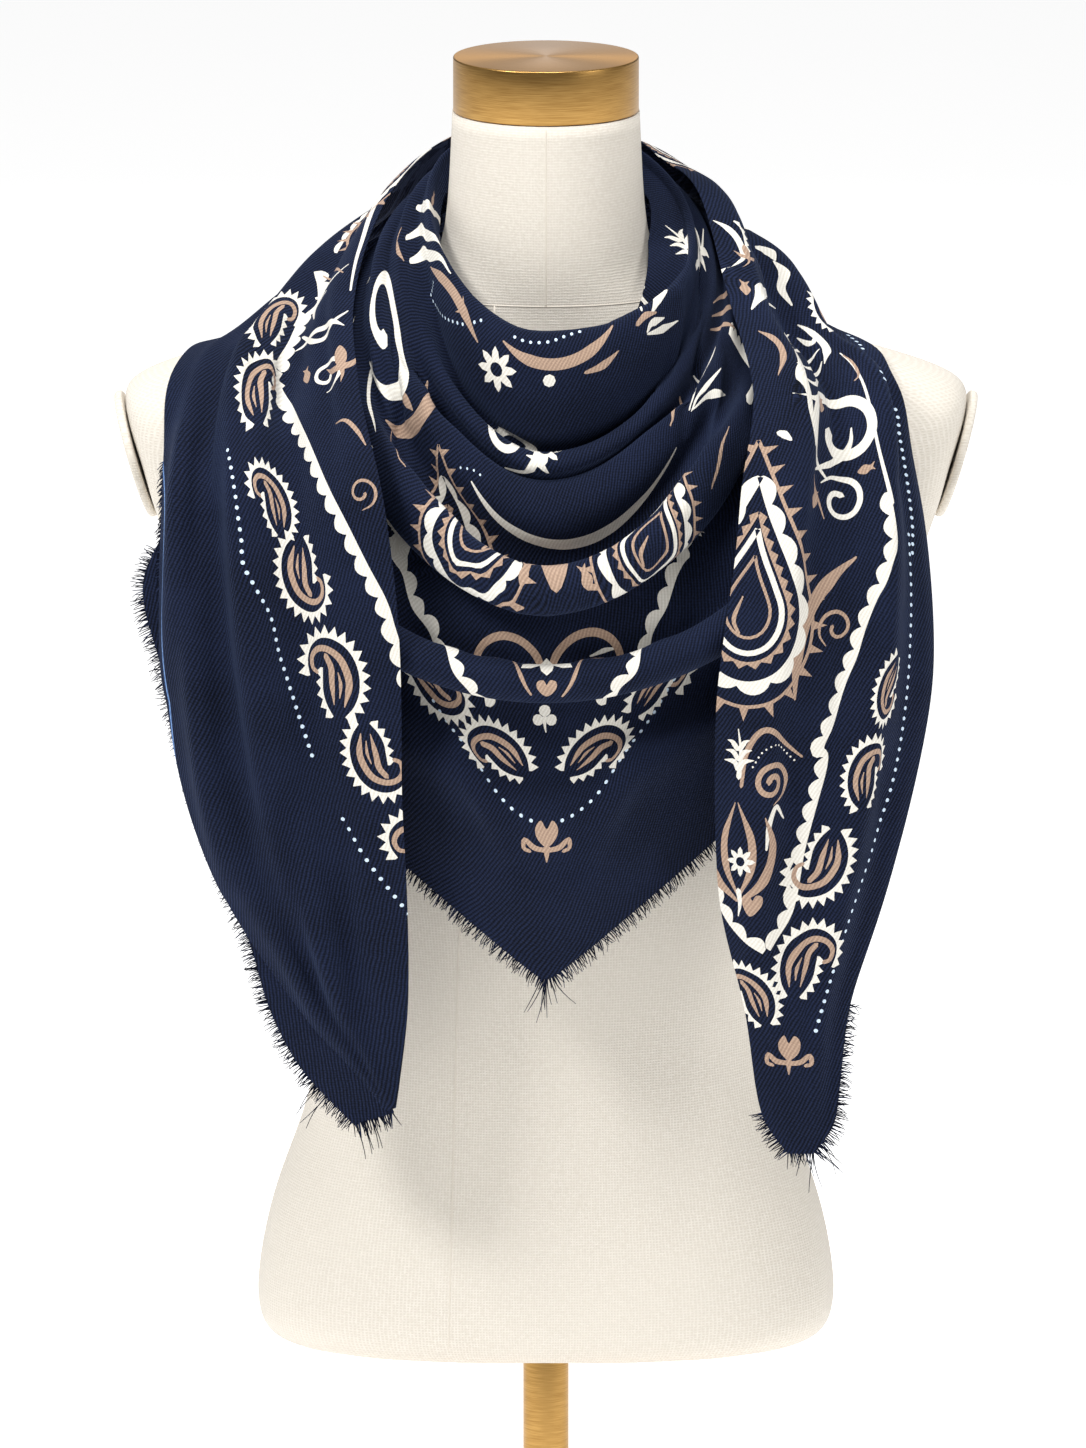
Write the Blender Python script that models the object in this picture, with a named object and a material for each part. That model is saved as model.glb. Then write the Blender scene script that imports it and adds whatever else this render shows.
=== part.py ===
"""A printed bandana square, folded to a triangle and worn on a limbless dress form with a brass neck cap and pole.

The square lies with its point at the front. Its long ends cross behind the neck and hang forward over the
shoulders. Every length below is in millimetres, heights are over the lower edge of the form's torso, and
"out" is the distance forward of the form's middle plane. The front faces -Y. Run with
blender --background --python part.py.
"""

import math
from collections import namedtuple

import bpy
import numpy as np
from mathutils import Vector
from mathutils.bvhtree import BVHTree

MM = 0.001

# Stand
BASE_RADIUS = 135.0
BASE_THICK = 12.0
BASE_EDGE = 3.0
POLE_RADIUS = 10.85
TORSO_LIFT = 204.0
CAP_RADIUS = 43.5
CAP_HEIGHT = 25.7
CAP_EDGE = 1.2
NECK_TOP = 587.2
TOUCH = 0.3
ARM_PLATE_THICK = 4.0
ARM_PLATE_HALF_TALL = 31.0
ARM_PLATE_HALF_DEEP = 37.0
ARM_PLATE_MIDDLE = (194.6, -3.0, 422.5)
ARM_PLATE_LEAN = math.radians(16.6)
BUST_OUT = 8.0
BUST_SIDE = 74.0
BUST_HEIGHT = 352.0
BUST_SPREAD = (37.0, 44.0)
TORSO_SIDES = 32
ROUND_SIDES = 32

# Cloth
WALL = 1.2
DRAPE_OFF_FORM = 3.6
COWL_OFF_FORM = 2.8
RIGHT_TAIL_OFF_CLOTH = 3.4
LEFT_TAIL_OFF_CLOTH = 3.1
COWL_COLUMNS = 40
DRAPE_COLUMNS = 26
TAIL_COLUMNS = 18
TAIL_ROWS = 30

# Fringe
BACKING_WIDTH = 2.6
BACKING_OFF_CLOTH = 0.5
BACKING_THICK = 1.1
STRAND_LENGTH = 9.0
STRAND_PITCH = 4.4
STRAND_DROOP = 0.8
HEM_COLUMN_STEP = 6
# Two waves along a fringe that swing its strands sideways: (share of the length, turn from strand to strand)
STRAND_SWINGS = ((0.12, 2.4), (0.08, 1.1))
STRAND_LENGTH_WAVE = (0.88, 0.16, 1.7)

TorsoRow = namedtuple("TorsoRow", "height half_wide front back squareness")
TORSO = (
    TorsoRow(0.0, 124.0, 71.0, 71.0, 2.6),
    TorsoRow(2.5, 131.5, 78.0, 78.0, 2.6),
    TorsoRow(8.0, 136.5, 82.5, 83.0, 2.6),
    TorsoRow(22.0, 138.0, 84.0, 86.0, 2.6),
    TorsoRow(52.0, 133.7, 82.5, 88.0, 2.5),
    TorsoRow(80.0, 125.5, 80.5, 85.0, 2.4),
    TorsoRow(105.0, 115.0, 80.0, 79.0, 2.3),
    TorsoRow(135.0, 108.0, 80.5, 73.0, 2.2),
    TorsoRow(160.0, 106.0, 81.0, 72.0, 2.2),
    TorsoRow(200.0, 112.0, 83.0, 76.0, 2.2),
    TorsoRow(250.0, 128.0, 89.0, 86.0, 2.3),
    TorsoRow(300.0, 142.0, 96.0, 94.0, 2.4),
    TorsoRow(330.0, 155.0, 98.0, 97.0, 2.5),
    TorsoRow(360.0, 171.0, 98.0, 98.0, 2.6),
    TorsoRow(394.0, 186.0, 91.0, 96.0, 2.9),
    TorsoRow(423.0, 196.0, 82.0, 90.0, 3.1),
    TorsoRow(446.0, 202.0, 74.0, 82.0, 3.0),
    TorsoRow(456.0, 199.5, 68.0, 76.0, 2.7),
    TorsoRow(463.0, 189.0, 62.0, 70.0, 2.4),
    TorsoRow(471.0, 166.0, 57.0, 64.0, 2.2),
    TorsoRow(480.0, 132.0, 53.0, 59.0, 2.1),
    TorsoRow(491.0, 94.0, 50.0, 55.0, 2.0),
    TorsoRow(503.0, 65.0, 48.5, 51.0, 2.0),
    TorsoRow(517.0, 51.0, 47.5, 48.5, 2.0),
    TorsoRow(536.0, 46.8, 46.5, 46.8, 2.0),
    TorsoRow(562.0, 45.2, 45.2, 45.2, 2.0),
    TorsoRow(NECK_TOP, 44.2, 44.2, 44.2, 2.0),
)

# The rings of the cowl, from the neck down. "pinch" draws a round ring into a V at the front.
Ring = namedtuple(
    "Ring",
    "front_out front_up left_wide left_out left_up right_wide right_out right_up back_in back_up pinch",
)
RINGS = (
    Ring(85.0, 473.5, 56.0, 6.0, 540.0, 70.0, 18.0, 523.0, 57.0, 567.0, 0.0),
    Ring(90.0, 436.0, 68.0, 20.0, 523.0, 79.0, 28.0, 512.0, 65.0, 559.0, 0.2),
    Ring(97.0, 409.0, 80.0, 34.0, 508.0, 87.0, 38.0, 504.0, 73.0, 551.0, 0.22),
    Ring(130.0, 382.0, 91.0, 44.0, 486.0, 100.0, 46.0, 492.0, 82.0, 541.0, 0.1),
)
RING_REACH = 179.7
COLLAR_INSIDE = Ring(70.0, 466.0, 49.0, 6.0, 533.0, 48.0, 22.0, 525.0, 50.0, 556.0, 0.0)
SWAG = Ring(132.0, 341.0, 140.0, 55.0, 450.0, 142.0, 55.0, 450.0, 92.0, 520.0, 0.0)
SWAG_REACH = 72.0
DRAPE_START_REACH = 60.0

# Half depths across each fold and half lengths along its face, at the front, the two sides and the nape.
FoldSize = namedtuple("FoldSize", "deep_front deep_side deep_back tall_front tall_left tall_right tall_back")
FOLDS = (
    FoldSize(9.0, 3.6, 2.4, 25.0, 6.0, 7.0, 5.0),
    FoldSize(7.0, 2.4, 2.2, 6.2, 4.0, 5.0, 4.0),
    FoldSize(8.0, 3.2, 2.2, 20.5, 4.0, 4.0, 4.0),
    FoldSize(10.5, 6.0, 3.0, 9.5, 19.0, 17.0, 5.0),
)
SWAG_SIZE = FoldSize(10.0, 7.0, 6.0, 9.2, 13.0, 13.0, 12.0)
FOLD_ANGLES = (170.0, 100.0, 50.0, 0.0, -45.0)
LAST_FOLD_ANGLE = -115.0
SWAG_ANGLES = (150.0, 95.0, 45.0, -5.0, -60.0, -120.0)
COLLAR_LIP = (190.0, 1.2, 0.9)
# Towards the shoulders the round folds flatten into pleats of this height, between these angles from the front
PLEAT_RISE = 2.0
TUBE_TO_PLEAT = (38.0, 80.0)
# Where the front drape starts, inside the lowest ring and behind its underside: (depth share, height share, extra)
DRAPE_START = ((-0.8, -0.25, 0.0), (-1.0, -0.95, 1.5))

# The plain front point under the rings: V shaped lines that run parallel with its two frayed edges.
PointRow = namedtuple("PointRow", "out up slope rounding half_wide edge_out")
POINT = (
    PointRow(121.0, 320.0, 0.46, 30.0, 132.0, 66.0),
    PointRow(124.0, 303.0, 0.56, 26.0, 133.0, 72.0),
    PointRow(138.0, 284.0, 0.66, 22.0, 134.0, 80.0),
    PointRow(135.0, 262.0, 0.72, 16.0, 135.0, 80.0),
    PointRow(130.0, 236.0, 0.78, 10.0, 135.0, 78.0),
    PointRow(125.0, 214.0, 0.81, 6.0, 135.0, 76.0),
    PointRow(122.0, 198.0, 0.82, 3.0, 135.0, 74.0),
)
POINT_FRINGE_HALF = 78.0

# The tails: for each cross line, where its inner and outer ends lie, and how far it bellies out.
Station = namedtuple("Station", "in_x in_out in_up edge_x edge_out edge_up belly")
LEFT_TAIL = (
    Station(22.0, -102.0, 557.0, 40.0, -112.0, 505.0, 3.0),
    Station(-8.0, -100.0, 561.0, -12.0, -115.0, 506.0, 4.0),
    Station(-38.0, -80.0, 561.0, -68.0, -100.0, 500.0, 4.0),
    Station(-62.0, -40.0, 551.0, -120.0, -62.0, 478.0, 3.0),
    Station(-79.0, -4.0, 529.0, -150.0, -20.0, 464.0, 1.0),
    Station(-88.0, 38.0, 499.0, -168.0, 18.0, 459.0, 1.0),
    Station(-84.0, 90.0, 464.0, -177.0, 54.0, 441.0, 5.0),
    Station(-74.0, 126.0, 430.0, -179.0, 74.0, 412.0, 10.0),
    Station(-68.0, 136.0, 385.0, -180.0, 86.0, 380.0, 12.0),
    Station(-66.0, 139.0, 340.0, -178.0, 96.0, 335.0, 12.0),
    Station(-66.0, 140.0, 290.0, -168.0, 105.0, 280.0, 11.0),
    Station(-64.0, 137.0, 240.0, -148.0, 114.0, 232.0, 9.0),
    Station(-64.0, 132.0, 190.0, -116.0, 121.0, 185.0, 5.0),
    Station(-68.0, 129.0, 152.0, -85.0, 126.0, 149.0, 2.0),
    Station(-70.0, 128.0, 138.0, -75.0, 127.0, 136.0, 0.0),
)
RIGHT_TAIL = (
    Station(-24.0, -88.0, 556.0, -36.0, -95.0, 502.0, 3.0),
    Station(8.0, -90.0, 560.0, 12.0, -99.0, 504.0, 4.0),
    Station(36.0, -76.0, 561.0, 58.0, -90.0, 504.0, 4.0),
    Station(54.0, -40.0, 555.0, 98.0, -58.0, 492.0, 6.0),
    Station(70.0, -6.0, 546.0, 124.0, -22.0, 480.0, 6.0),
    Station(84.0, 46.0, 505.0, 146.0, 16.0, 460.0, 6.0),
    Station(95.0, 96.0, 471.0, 163.0, 46.0, 452.0, 16.0),
    Station(90.0, 122.0, 435.0, 173.0, 68.0, 424.0, 20.0),
    Station(86.0, 134.0, 395.0, 179.0, 86.0, 385.0, 22.0),
    Station(79.0, 138.0, 340.0, 180.0, 100.0, 335.0, 20.0),
    Station(78.0, 138.0, 286.0, 170.0, 110.0, 281.0, 16.0),
    Station(81.0, 136.0, 235.0, 156.0, 117.0, 230.0, 12.0),
    Station(92.0, 131.0, 188.0, 142.0, 121.0, 186.0, 8.0),
    Station(98.0, 127.0, 146.0, 137.0, 122.0, 145.0, 4.0),
    Station(103.0, 125.0, 129.0, 134.0, 123.0, 128.0, 2.0),
    Station(113.0, 124.0, 115.0, 125.0, 124.0, 115.0, 0.0),
)

# Long folds of a tail: where each lies across it (0 inner, 1 outer) at the nape, chest and hem, its half width
# in that measure, and how high it stands at the nape, shoulder, chest, waist and hem.
TailFold = namedtuple("TailFold", "at_nape at_chest at_hem half_wide nape shoulder chest waist hem")
LEFT_FOLDS = (
    TailFold(0.10, 0.06, 0.10, 0.12, 4.0, 4.0, 5.0, 3.0, 0.0),
    TailFold(0.38, 0.42, 0.38, 0.10, -5.0, -6.0, -9.0, -4.0, 0.0),
    TailFold(0.52, 0.58, 0.54, 0.10, 5.0, 9.0, 15.0, 6.0, 0.0),
    TailFold(0.66, 0.71, 0.68, 0.07, -4.0, -4.0, -5.0, -3.0, 0.0),
    TailFold(0.80, 0.84, 0.83, 0.09, 5.0, 8.0, 12.0, 4.0, 0.0),
)
RIGHT_FOLDS = (
    TailFold(0.14, 0.17, 0.18, 0.12, 5.0, 8.0, 9.0, 5.0, 0.0),
    TailFold(0.30, 0.33, 0.36, 0.07, -4.0, -5.0, -6.0, -3.0, 0.0),
    TailFold(0.47, 0.50, 0.55, 0.09, -4.0, -8.0, -8.0, -2.0, 0.0),
    TailFold(0.64, 0.68, 0.72, 0.10, 6.0, 9.0, 10.0, 5.0, 0.0),
    TailFold(0.82, 0.83, 0.88, 0.07, -3.0, -4.0, -4.0, -2.0, 0.0),
)
FOLD_STAGES = (0.0, 0.3, 0.5, 0.72, 1.0)
FULL_FOLD_WIDTH = 70.0
LEFT_FRINGE_STAGES = (0.455, 0.58)
RIGHT_FRINGE_STAGE = 0.80
RIGHT_FRINGE_INNER_STAGE = 0.90

# The second layer under the left tail: its hidden inner line and its frayed outer line.
UnderRow = namedtuple("UnderRow", "in_x in_up edge_x edge_up")
UNDER = (
    UnderRow(-166.0, 402.0, -180.0, 398.0),
    UnderRow(-164.0, 384.0, -188.0, 374.0),
    UnderRow(-157.0, 345.0, -176.0, 330.0),
    UnderRow(-144.0, 285.0, -159.0, 270.0),
    UnderRow(-122.0, 232.0, -139.0, 216.0),
    UnderRow(-98.0, 188.0, -129.0, 182.0),
    UnderRow(-80.0, 158.0, -114.0, 153.0),
    UnderRow(-71.0, 135.0, -90.0, 128.0),
)
UNDER_COLUMNS = 6
UNDER_ROWS = 20
UNDER_BEHIND = 2.5
UNDER_SLOPE = 0.35


def clear_scene():
    for old in list(bpy.data.objects):
        bpy.data.objects.remove(old, do_unlink=True)


def material(name, colour, roughness, metallic):
    """A plain material in linear colour values."""
    made = bpy.data.materials.new(name)
    made.use_nodes = True
    shader = made.node_tree.nodes["Principled BSDF"]
    shader.inputs["Base Color"].default_value = (*colour, 1.0)
    shader.inputs["Roughness"].default_value = roughness
    shader.inputs["Metallic"].default_value = metallic
    made.diffuse_color = (*colour, 1.0)
    return made


def add_solid(name, points, faces, finish, smooth=True):
    """Makes one object from points in millimetres over the torso's lower edge."""
    placed = np.asarray(points, float) * MM
    placed[:, 2] += TORSO_LIFT * MM
    mesh = bpy.data.meshes.new(name)
    mesh.from_pydata(placed.tolist(), [], [tuple(int(i) for i in face) for face in faces])
    mesh.materials.append(finish)
    mesh.polygons.foreach_set("use_smooth", [smooth] * len(mesh.polygons))
    mesh.update()
    made = bpy.data.objects.new(name, mesh)
    bpy.context.scene.collection.objects.link(made)
    return made


def through(values, at):
    """Catmull-Rom curve through the rows of values, read at parameters that run from 0 to 1."""
    rows = np.asarray(values, float)
    last = len(rows) - 1
    place = np.clip(np.asarray(at, float), 0.0, 1.0) * last
    index = np.minimum(place.astype(int), last - 1)
    part = (place - index)[:, None]
    before = rows[np.maximum(index - 1, 0)]
    here = rows[index]
    after = rows[index + 1]
    beyond = rows[np.minimum(index + 2, last)]
    start = (after - before) / 2.0
    end = (beyond - here) / 2.0
    square = part * part
    cube = square * part
    blend = here * (2 * cube - 3 * square + 1) + after * (3 * square - 2 * cube)
    return blend + start * (cube - 2 * square + part) + end * (cube - square)


def round_trip(front, side, back, angle):
    """An even, smooth value round a ring: front at 0, side at a quarter turn, back at a half turn."""
    turn = (front - back) / 2.0
    middle = (front + back) / 2.0
    return (middle + side) / 2.0 + turn * np.cos(angle) + (middle - side) / 2.0 * np.cos(2.0 * angle)


def by_side(left, right, angle):
    """The left value for negative angles and the right one for positive, joined over the front."""
    share = 0.5 + 0.5 * np.clip(np.sin(angle) * 2.5, -1.0, 1.0)
    share = share * share * (3.0 - 2.0 * share)
    return left + (right - left) * share


def unit(vectors):
    return vectors / np.maximum(np.linalg.norm(vectors, axis=-1, keepdims=True), 1e-9)


def grid_normals(grid):
    """Outward normals of a grid whose rows run down the cloth and whose columns run to the wearer's left.

    Each is the mean of the normals of the cloth above and below it, so that it halves the angle of a sharp fold.
    """
    across = np.gradient(grid, axis=1)
    faces = unit(np.cross(np.diff(grid, axis=0), across[:-1] + across[1:]))
    above = np.concatenate([faces[:1], faces])
    below = np.concatenate([faces, faces[-1:]])
    return unit(above + below)


def surface_tree(*shapes):
    """One search tree over meshes given as (points, triangles)."""
    points = []
    faces = []
    for shape_points, shape_faces in shapes:
        start = len(points)
        points += [Vector(point) for point in np.asarray(shape_points, float)]
        faces += [tuple(int(i) + start for i in face) for face in shape_faces]
    return BVHTree.FromPolygons(points, faces)


def smoothed(values, passes):
    """Evens out a grid of numbers, keeping its edges."""
    for _ in range(passes):
        padded = np.pad(values, 1, mode="edge")
        around = padded[:-2, 1:-1] + padded[2:, 1:-1] + padded[1:-1, :-2] + padded[1:-1, 2:]
        values = 0.5 * values + 0.125 * around
    return values


def lift_off(grid, directions, tree, gap, reach=60.0):
    """Moves the points of a grid along their directions until each lies a gap outside the outermost surface."""
    lift = np.zeros(grid.shape[:2])
    for row in range(grid.shape[0]):
        for column in range(grid.shape[1]):
            point = Vector(grid[row, column])
            outward = Vector(directions[row, column])
            hit, _, _, distance = tree.ray_cast(point + outward * reach, -outward, 2.0 * reach)
            if hit is not None:
                lift[row, column] = max(0.0, reach - distance + gap)
    spread = np.maximum(lift, smoothed(lift, 3))
    return grid + directions * spread[:, :, None]


def wall(name, outer, finish, thick=WALL):
    """A closed cloth wall: the given outer grid, the same grid a thickness further in, and a rim."""
    inner = outer - grid_normals(outer) * thick
    rows, columns = outer.shape[:2]
    points = np.concatenate([outer.reshape(-1, 3), inner.reshape(-1, 3)])
    inside = rows * columns
    faces = []
    for row in range(rows - 1):
        for column in range(columns - 1):
            a = row * columns + column
            b = a + 1
            c = a + columns
            d = c + 1
            if np.linalg.norm(points[a] - points[d]) < np.linalg.norm(points[b] - points[c]):
                pair = ((a, c, d), (a, d, b))
            else:
                pair = ((a, c, b), (b, c, d))
            for face in pair:
                faces.append(face)
                faces.append(tuple(i + inside for i in reversed(face)))
    edge = list(range(columns))
    edge += [row * columns + columns - 1 for row in range(1, rows)]
    edge += [(rows - 1) * columns + column for column in range(columns - 2, -1, -1)]
    edge += [row * columns for row in range(rows - 2, 0, -1)]
    for here, following in zip(edge, edge[1:] + edge[:1]):
        faces.append((here, following, following + inside))
        faces.append((here, following + inside, here + inside))
    return add_solid(name, points, faces, finish)


def torso_section(row, sides):
    """One level of the torso: a squared oval, deeper at the back than the front, with the bust raised."""
    turn = np.arange(sides) * 2.0 * math.pi / sides
    power = 2.0 / row.squareness
    across = np.sign(np.sin(turn)) * np.abs(np.sin(turn)) ** power
    along = -np.sign(np.cos(turn)) * np.abs(np.cos(turn)) ** power
    x = row.half_wide * across
    y = np.where(along < 0.0, row.front, row.back) * along
    level = (row.height - BUST_HEIGHT) / BUST_SPREAD[1]
    bump = np.exp(-(((np.abs(x) - BUST_SIDE) / BUST_SPREAD[0]) ** 2) - level**2)
    y = np.where(along < 0.0, y - BUST_OUT * bump * np.abs(along), y)
    lean = math.tan(ARM_PLATE_LEAN)
    flat = ARM_PLATE_MIDDLE[0] + (row.height - ARM_PLATE_MIDDLE[2]) * lean
    flat -= (ARM_PLATE_THICK + TOUCH) / math.cos(ARM_PLATE_LEAN)
    if row.height > ARM_PLATE_MIDDLE[2] - ARM_PLATE_HALF_TALL - 8.0:
        x = np.clip(x, -flat, flat)
    return np.stack([x, y, np.full(sides, row.height)], axis=1)


def torso_mesh(rows=TORSO, sides=TORSO_SIDES):
    points = np.concatenate([torso_section(row, sides) for row in rows])
    faces = [tuple(range(sides))[::-1]]
    for level in range(len(rows) - 1):
        for side in range(sides):
            a = level * sides + side
            b = level * sides + (side + 1) % sides
            faces.append((a, b, b + sides))
            faces.append((a, b + sides, a + sides))
    top = (len(rows) - 1) * sides
    faces.append(tuple(range(top, top + sides)))
    return points, faces


def turned(profile, sides):
    """A closed solid of revolution about the Z axis, from (radius, height) corners between its two flat ends."""
    turn = np.arange(sides) * 2.0 * math.pi / sides
    circle = np.stack([np.cos(turn), np.sin(turn)], axis=1)
    points = np.concatenate([np.column_stack([circle * radius, np.full(sides, up)]) for radius, up in profile])
    faces = [tuple(range(sides))[::-1]]
    for level in range(len(profile) - 1):
        for side in range(sides):
            a = level * sides + side
            b = level * sides + (side + 1) % sides
            faces.append((a, b, b + sides, a + sides))
    top = (len(profile) - 1) * sides
    faces.append(tuple(range(top, top + sides)))
    return points, faces


def arm_plate(name, side, finish):
    """The flat oval that closes the form where an arm would start."""
    turn = np.arange(ROUND_SIDES) * 2.0 * math.pi / ROUND_SIDES
    lean = ARM_PLATE_LEAN
    up = np.array([math.sin(lean) * side, 0.0, math.cos(lean)])
    outward = np.array([math.cos(lean) * side, 0.0, -math.sin(lean)])
    forward = np.array([0.0, -1.0, 0.0])
    middle = np.array(ARM_PLATE_MIDDLE) * (side, 1.0, 1.0)
    rings = []
    for depth, share in ((ARM_PLATE_THICK, 0.985), (0.8, 1.0), (0.0, 0.975)):
        ring = middle - outward * depth
        ring = ring + share * np.outer(np.cos(turn) * ARM_PLATE_HALF_DEEP, forward)
        ring = ring + share * np.outer(np.sin(turn) * ARM_PLATE_HALF_TALL, up)
        rings.append(ring)
    count = ROUND_SIDES
    faces = [tuple(range(count))[::-1], tuple(range(2 * count, 3 * count))]
    for level in range(2):
        for step in range(count):
            a = level * count + step
            b = level * count + (step + 1) % count
            faces.append((a, b, b + count, a + count))
    if side > 0:
        faces = [face[::-1] for face in faces]
    return add_solid(name, np.concatenate(rings), faces, finish)


def ring_line(ring, angle):
    """The centre line of one fold round the neck."""
    pinch = np.where(np.cos(angle) > 0.0, ring.pinch, 0.0)
    wave = (1.0 - pinch) * np.sin(angle) + pinch * np.sin(angle) ** 3
    x = by_side(ring.left_wide, ring.right_wide, angle) * wave
    side_out = by_side(ring.left_out, ring.right_out, angle)
    side_up = by_side(ring.left_up, ring.right_up, angle)
    y = -round_trip(ring.front_out, side_out, -ring.back_in, angle)
    z = round_trip(ring.front_up, side_up, ring.back_up, angle)
    return np.stack([x, y, z], axis=1)


def ring_frame(ring, angle):
    """A ring's centre line with its outward and upward directions."""
    step = 0.002
    forward = unit(ring_line(ring, angle + step) - ring_line(ring, angle - step))
    outward = unit(np.cross(forward, (0.0, 0.0, 1.0)))
    upright = (np.maximum(np.cos(angle), 0.0) ** 2)[:, None]
    upward = np.cross(outward, forward) * (1.0 - upright) + np.array([0.0, 0.0, 1.0]) * upright
    return ring_line(ring, angle), outward, unit(upward)


def fold_size(size, angle):
    """How deep and how tall a fold is at each angle round its ring."""
    deep = round_trip(size.deep_front, size.deep_side, size.deep_back, angle)
    tall_side = by_side(size.tall_left, size.tall_right, angle)
    tall = round_trip(size.tall_front, tall_side, size.tall_back, angle)
    return deep[:, None], tall[:, None]


def fold_lines(ring, size, angle, places):
    """The lines along one fold, each at a place (turn, depth share, height share) round its section."""
    line, outward, upward = ring_frame(ring, angle)
    deep, tall = fold_size(size, angle)
    rows = []
    for turn, deep_share, tall_share in places:
        out = deep * deep_share * math.cos(math.radians(turn))
        up = tall * tall_share * math.sin(math.radians(turn))
        rows.append(line + outward * out + upward * up)
    return rows


def point_line(row, across):
    """One V shaped line of the front point."""
    x = across * row.half_wide
    rise = np.sqrt(x * x + row.rounding**2) - row.rounding
    out = row.out + (row.edge_out - row.out) * np.abs(across) ** 1.8
    return np.stack([x, -out, row.up + row.slope * rise], axis=1)


def spine(centres, place):
    """The line at a place between the ring centre lines, carried on straight past the first and last of them."""
    last = len(centres) - 1
    inside = min(max(place, 0.0), float(last))
    line = through(centres.reshape(last + 1, -1), [inside / last]).reshape(centres.shape[1:])
    if place < 0.0:
        line = line + place * (centres[1] - centres[0])
    if place > last:
        line = line + (place - last) * (centres[last] - centres[last - 1])
    return line


def cowl_grid(columns=COWL_COLUMNS):
    """The neck cowl: four folds, round like tubes at the front and flattened to pleats over the shoulders."""
    angle = np.radians(np.linspace(-RING_REACH, RING_REACH, columns + 1))
    turns = tuple((turn, 1.0, 1.0) for turn in FOLD_ANGLES)
    tubes = [fold_lines(ring, size, angle, turns) for ring, size in zip(RINGS, FOLDS)]
    centres = np.stack([ring_line(ring, angle) for ring in RINGS])
    start, end = np.radians(TUBE_TO_PLEAT)
    flat = np.clip((np.abs(angle) - start) / (end - start), 0.0, 1.0)[:, None]
    flat = flat * flat * (3.0 - 2.0 * flat)
    ahead = unit(np.gradient(centres, axis=1))
    count = len(FOLD_ANGLES)
    rows = [ring_line(COLLAR_INSIDE, angle)] + fold_lines(RINGS[0], FOLDS[0], angle, (COLLAR_LIP,))
    for index, lines in enumerate(tubes):
        for number, tube in enumerate(lines):
            step = (number - (count - 1) / 2.0) / count
            here = spine(centres, index + step)
            down = spine(centres, index + step + 0.1) - spine(centres, index + step - 0.1)
            outward = unit(np.cross(down, ahead[index]))
            pleat = here + outward * PLEAT_RISE * math.cos(2.0 * math.pi * step)
            free = index == 0 and number < 2
            rows.append(tube if free else tube * (1.0 - flat) + pleat * flat)
    rows += fold_lines(RINGS[-1], FOLDS[-1], angle, ((LAST_FOLD_ANGLE, 1.0, 1.0),))
    return np.stack(rows)


def drape_grid(columns=DRAPE_COLUMNS):
    """The front drape: it comes out from inside the lowest ring, makes one more swag and ends in the point."""
    across = np.linspace(-1.0, 1.0, columns + 1)
    angle = across * math.radians(SWAG_REACH)
    start = across * math.radians(DRAPE_START_REACH)
    line, outward, upward = ring_frame(RINGS[-1], start)
    deep, tall = fold_size(FOLDS[-1], start)
    rows = [line + outward * (deep * out - extra) + upward * (tall * up) for out, up, extra in DRAPE_START]
    swag = fold_lines(SWAG, SWAG_SIZE, angle, tuple((turn, 1.0, 1.0) for turn in SWAG_ANGLES))
    rows += [rows[-1] * (1.0 - share) + swag[0] * share for share in (1.0 / 3.0, 2.0 / 3.0)]
    rows += swag
    rows += [point_line(row, across) for row in POINT]
    return np.stack(rows)


def off_form(grid, tree, gap):
    """Moves points that lie too near the form, or in it, straight out from its skin."""
    moved = grid.copy()
    for row in range(grid.shape[0]):
        for column in range(grid.shape[1]):
            point = Vector(grid[row, column])
            near, normal, _, _ = tree.find_nearest(point)
            height = (point - near).dot(normal)
            if height < gap:
                moved[row, column] = np.array(point + normal * (gap - height))
    return moved


def tail_base(stations, columns, rows):
    """The smooth sheet of a tail between its inner and outer ends."""
    along = np.linspace(0.0, 1.0, rows + 1)
    share = np.linspace(0.0, 1.0, columns + 1)[None, :, None]
    line = through([list(station) for station in stations], along)
    inner = np.stack([line[:, 0], -line[:, 1], line[:, 2]], axis=1)
    edge = np.stack([line[:, 3], -line[:, 4], line[:, 5]], axis=1)
    return inner[:, None, :] * (1.0 - share) + edge[:, None, :] * share, line[:, 6], along


def tail_grid(stations, folds, mirrored, columns=TAIL_COLUMNS, rows=TAIL_ROWS):
    """A tail's outer surface and the directions in which it was raised."""
    base, belly, along = tail_base(stations, columns, rows)
    facing = grid_normals(base) * (-1.0 if mirrored else 1.0)
    share = np.linspace(0.0, 1.0, columns + 1)
    height = belly[:, None] * 4.0 * share * (1.0 - share)
    wide = np.linalg.norm(base[:, -1] - base[:, 0], axis=1)
    room = np.minimum(1.0, wide / FULL_FOLD_WIDTH)
    for fold in folds:
        at = through([[fold.at_nape], [fold.at_chest], [fold.at_hem]], along)
        heights = [fold.nape, fold.shoulder, fold.chest, fold.waist, fold.hem]
        rise = (np.interp(along, FOLD_STAGES, heights) * room)[:, None]
        offset = np.clip(np.abs(share[None, :] - at) / (2.0 * fold.half_wide), 0.0, 1.0)
        height = height + rise * (0.5 + 0.5 * np.cos(math.pi * offset))
    return base + facing * height[:, :, None], facing


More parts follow.
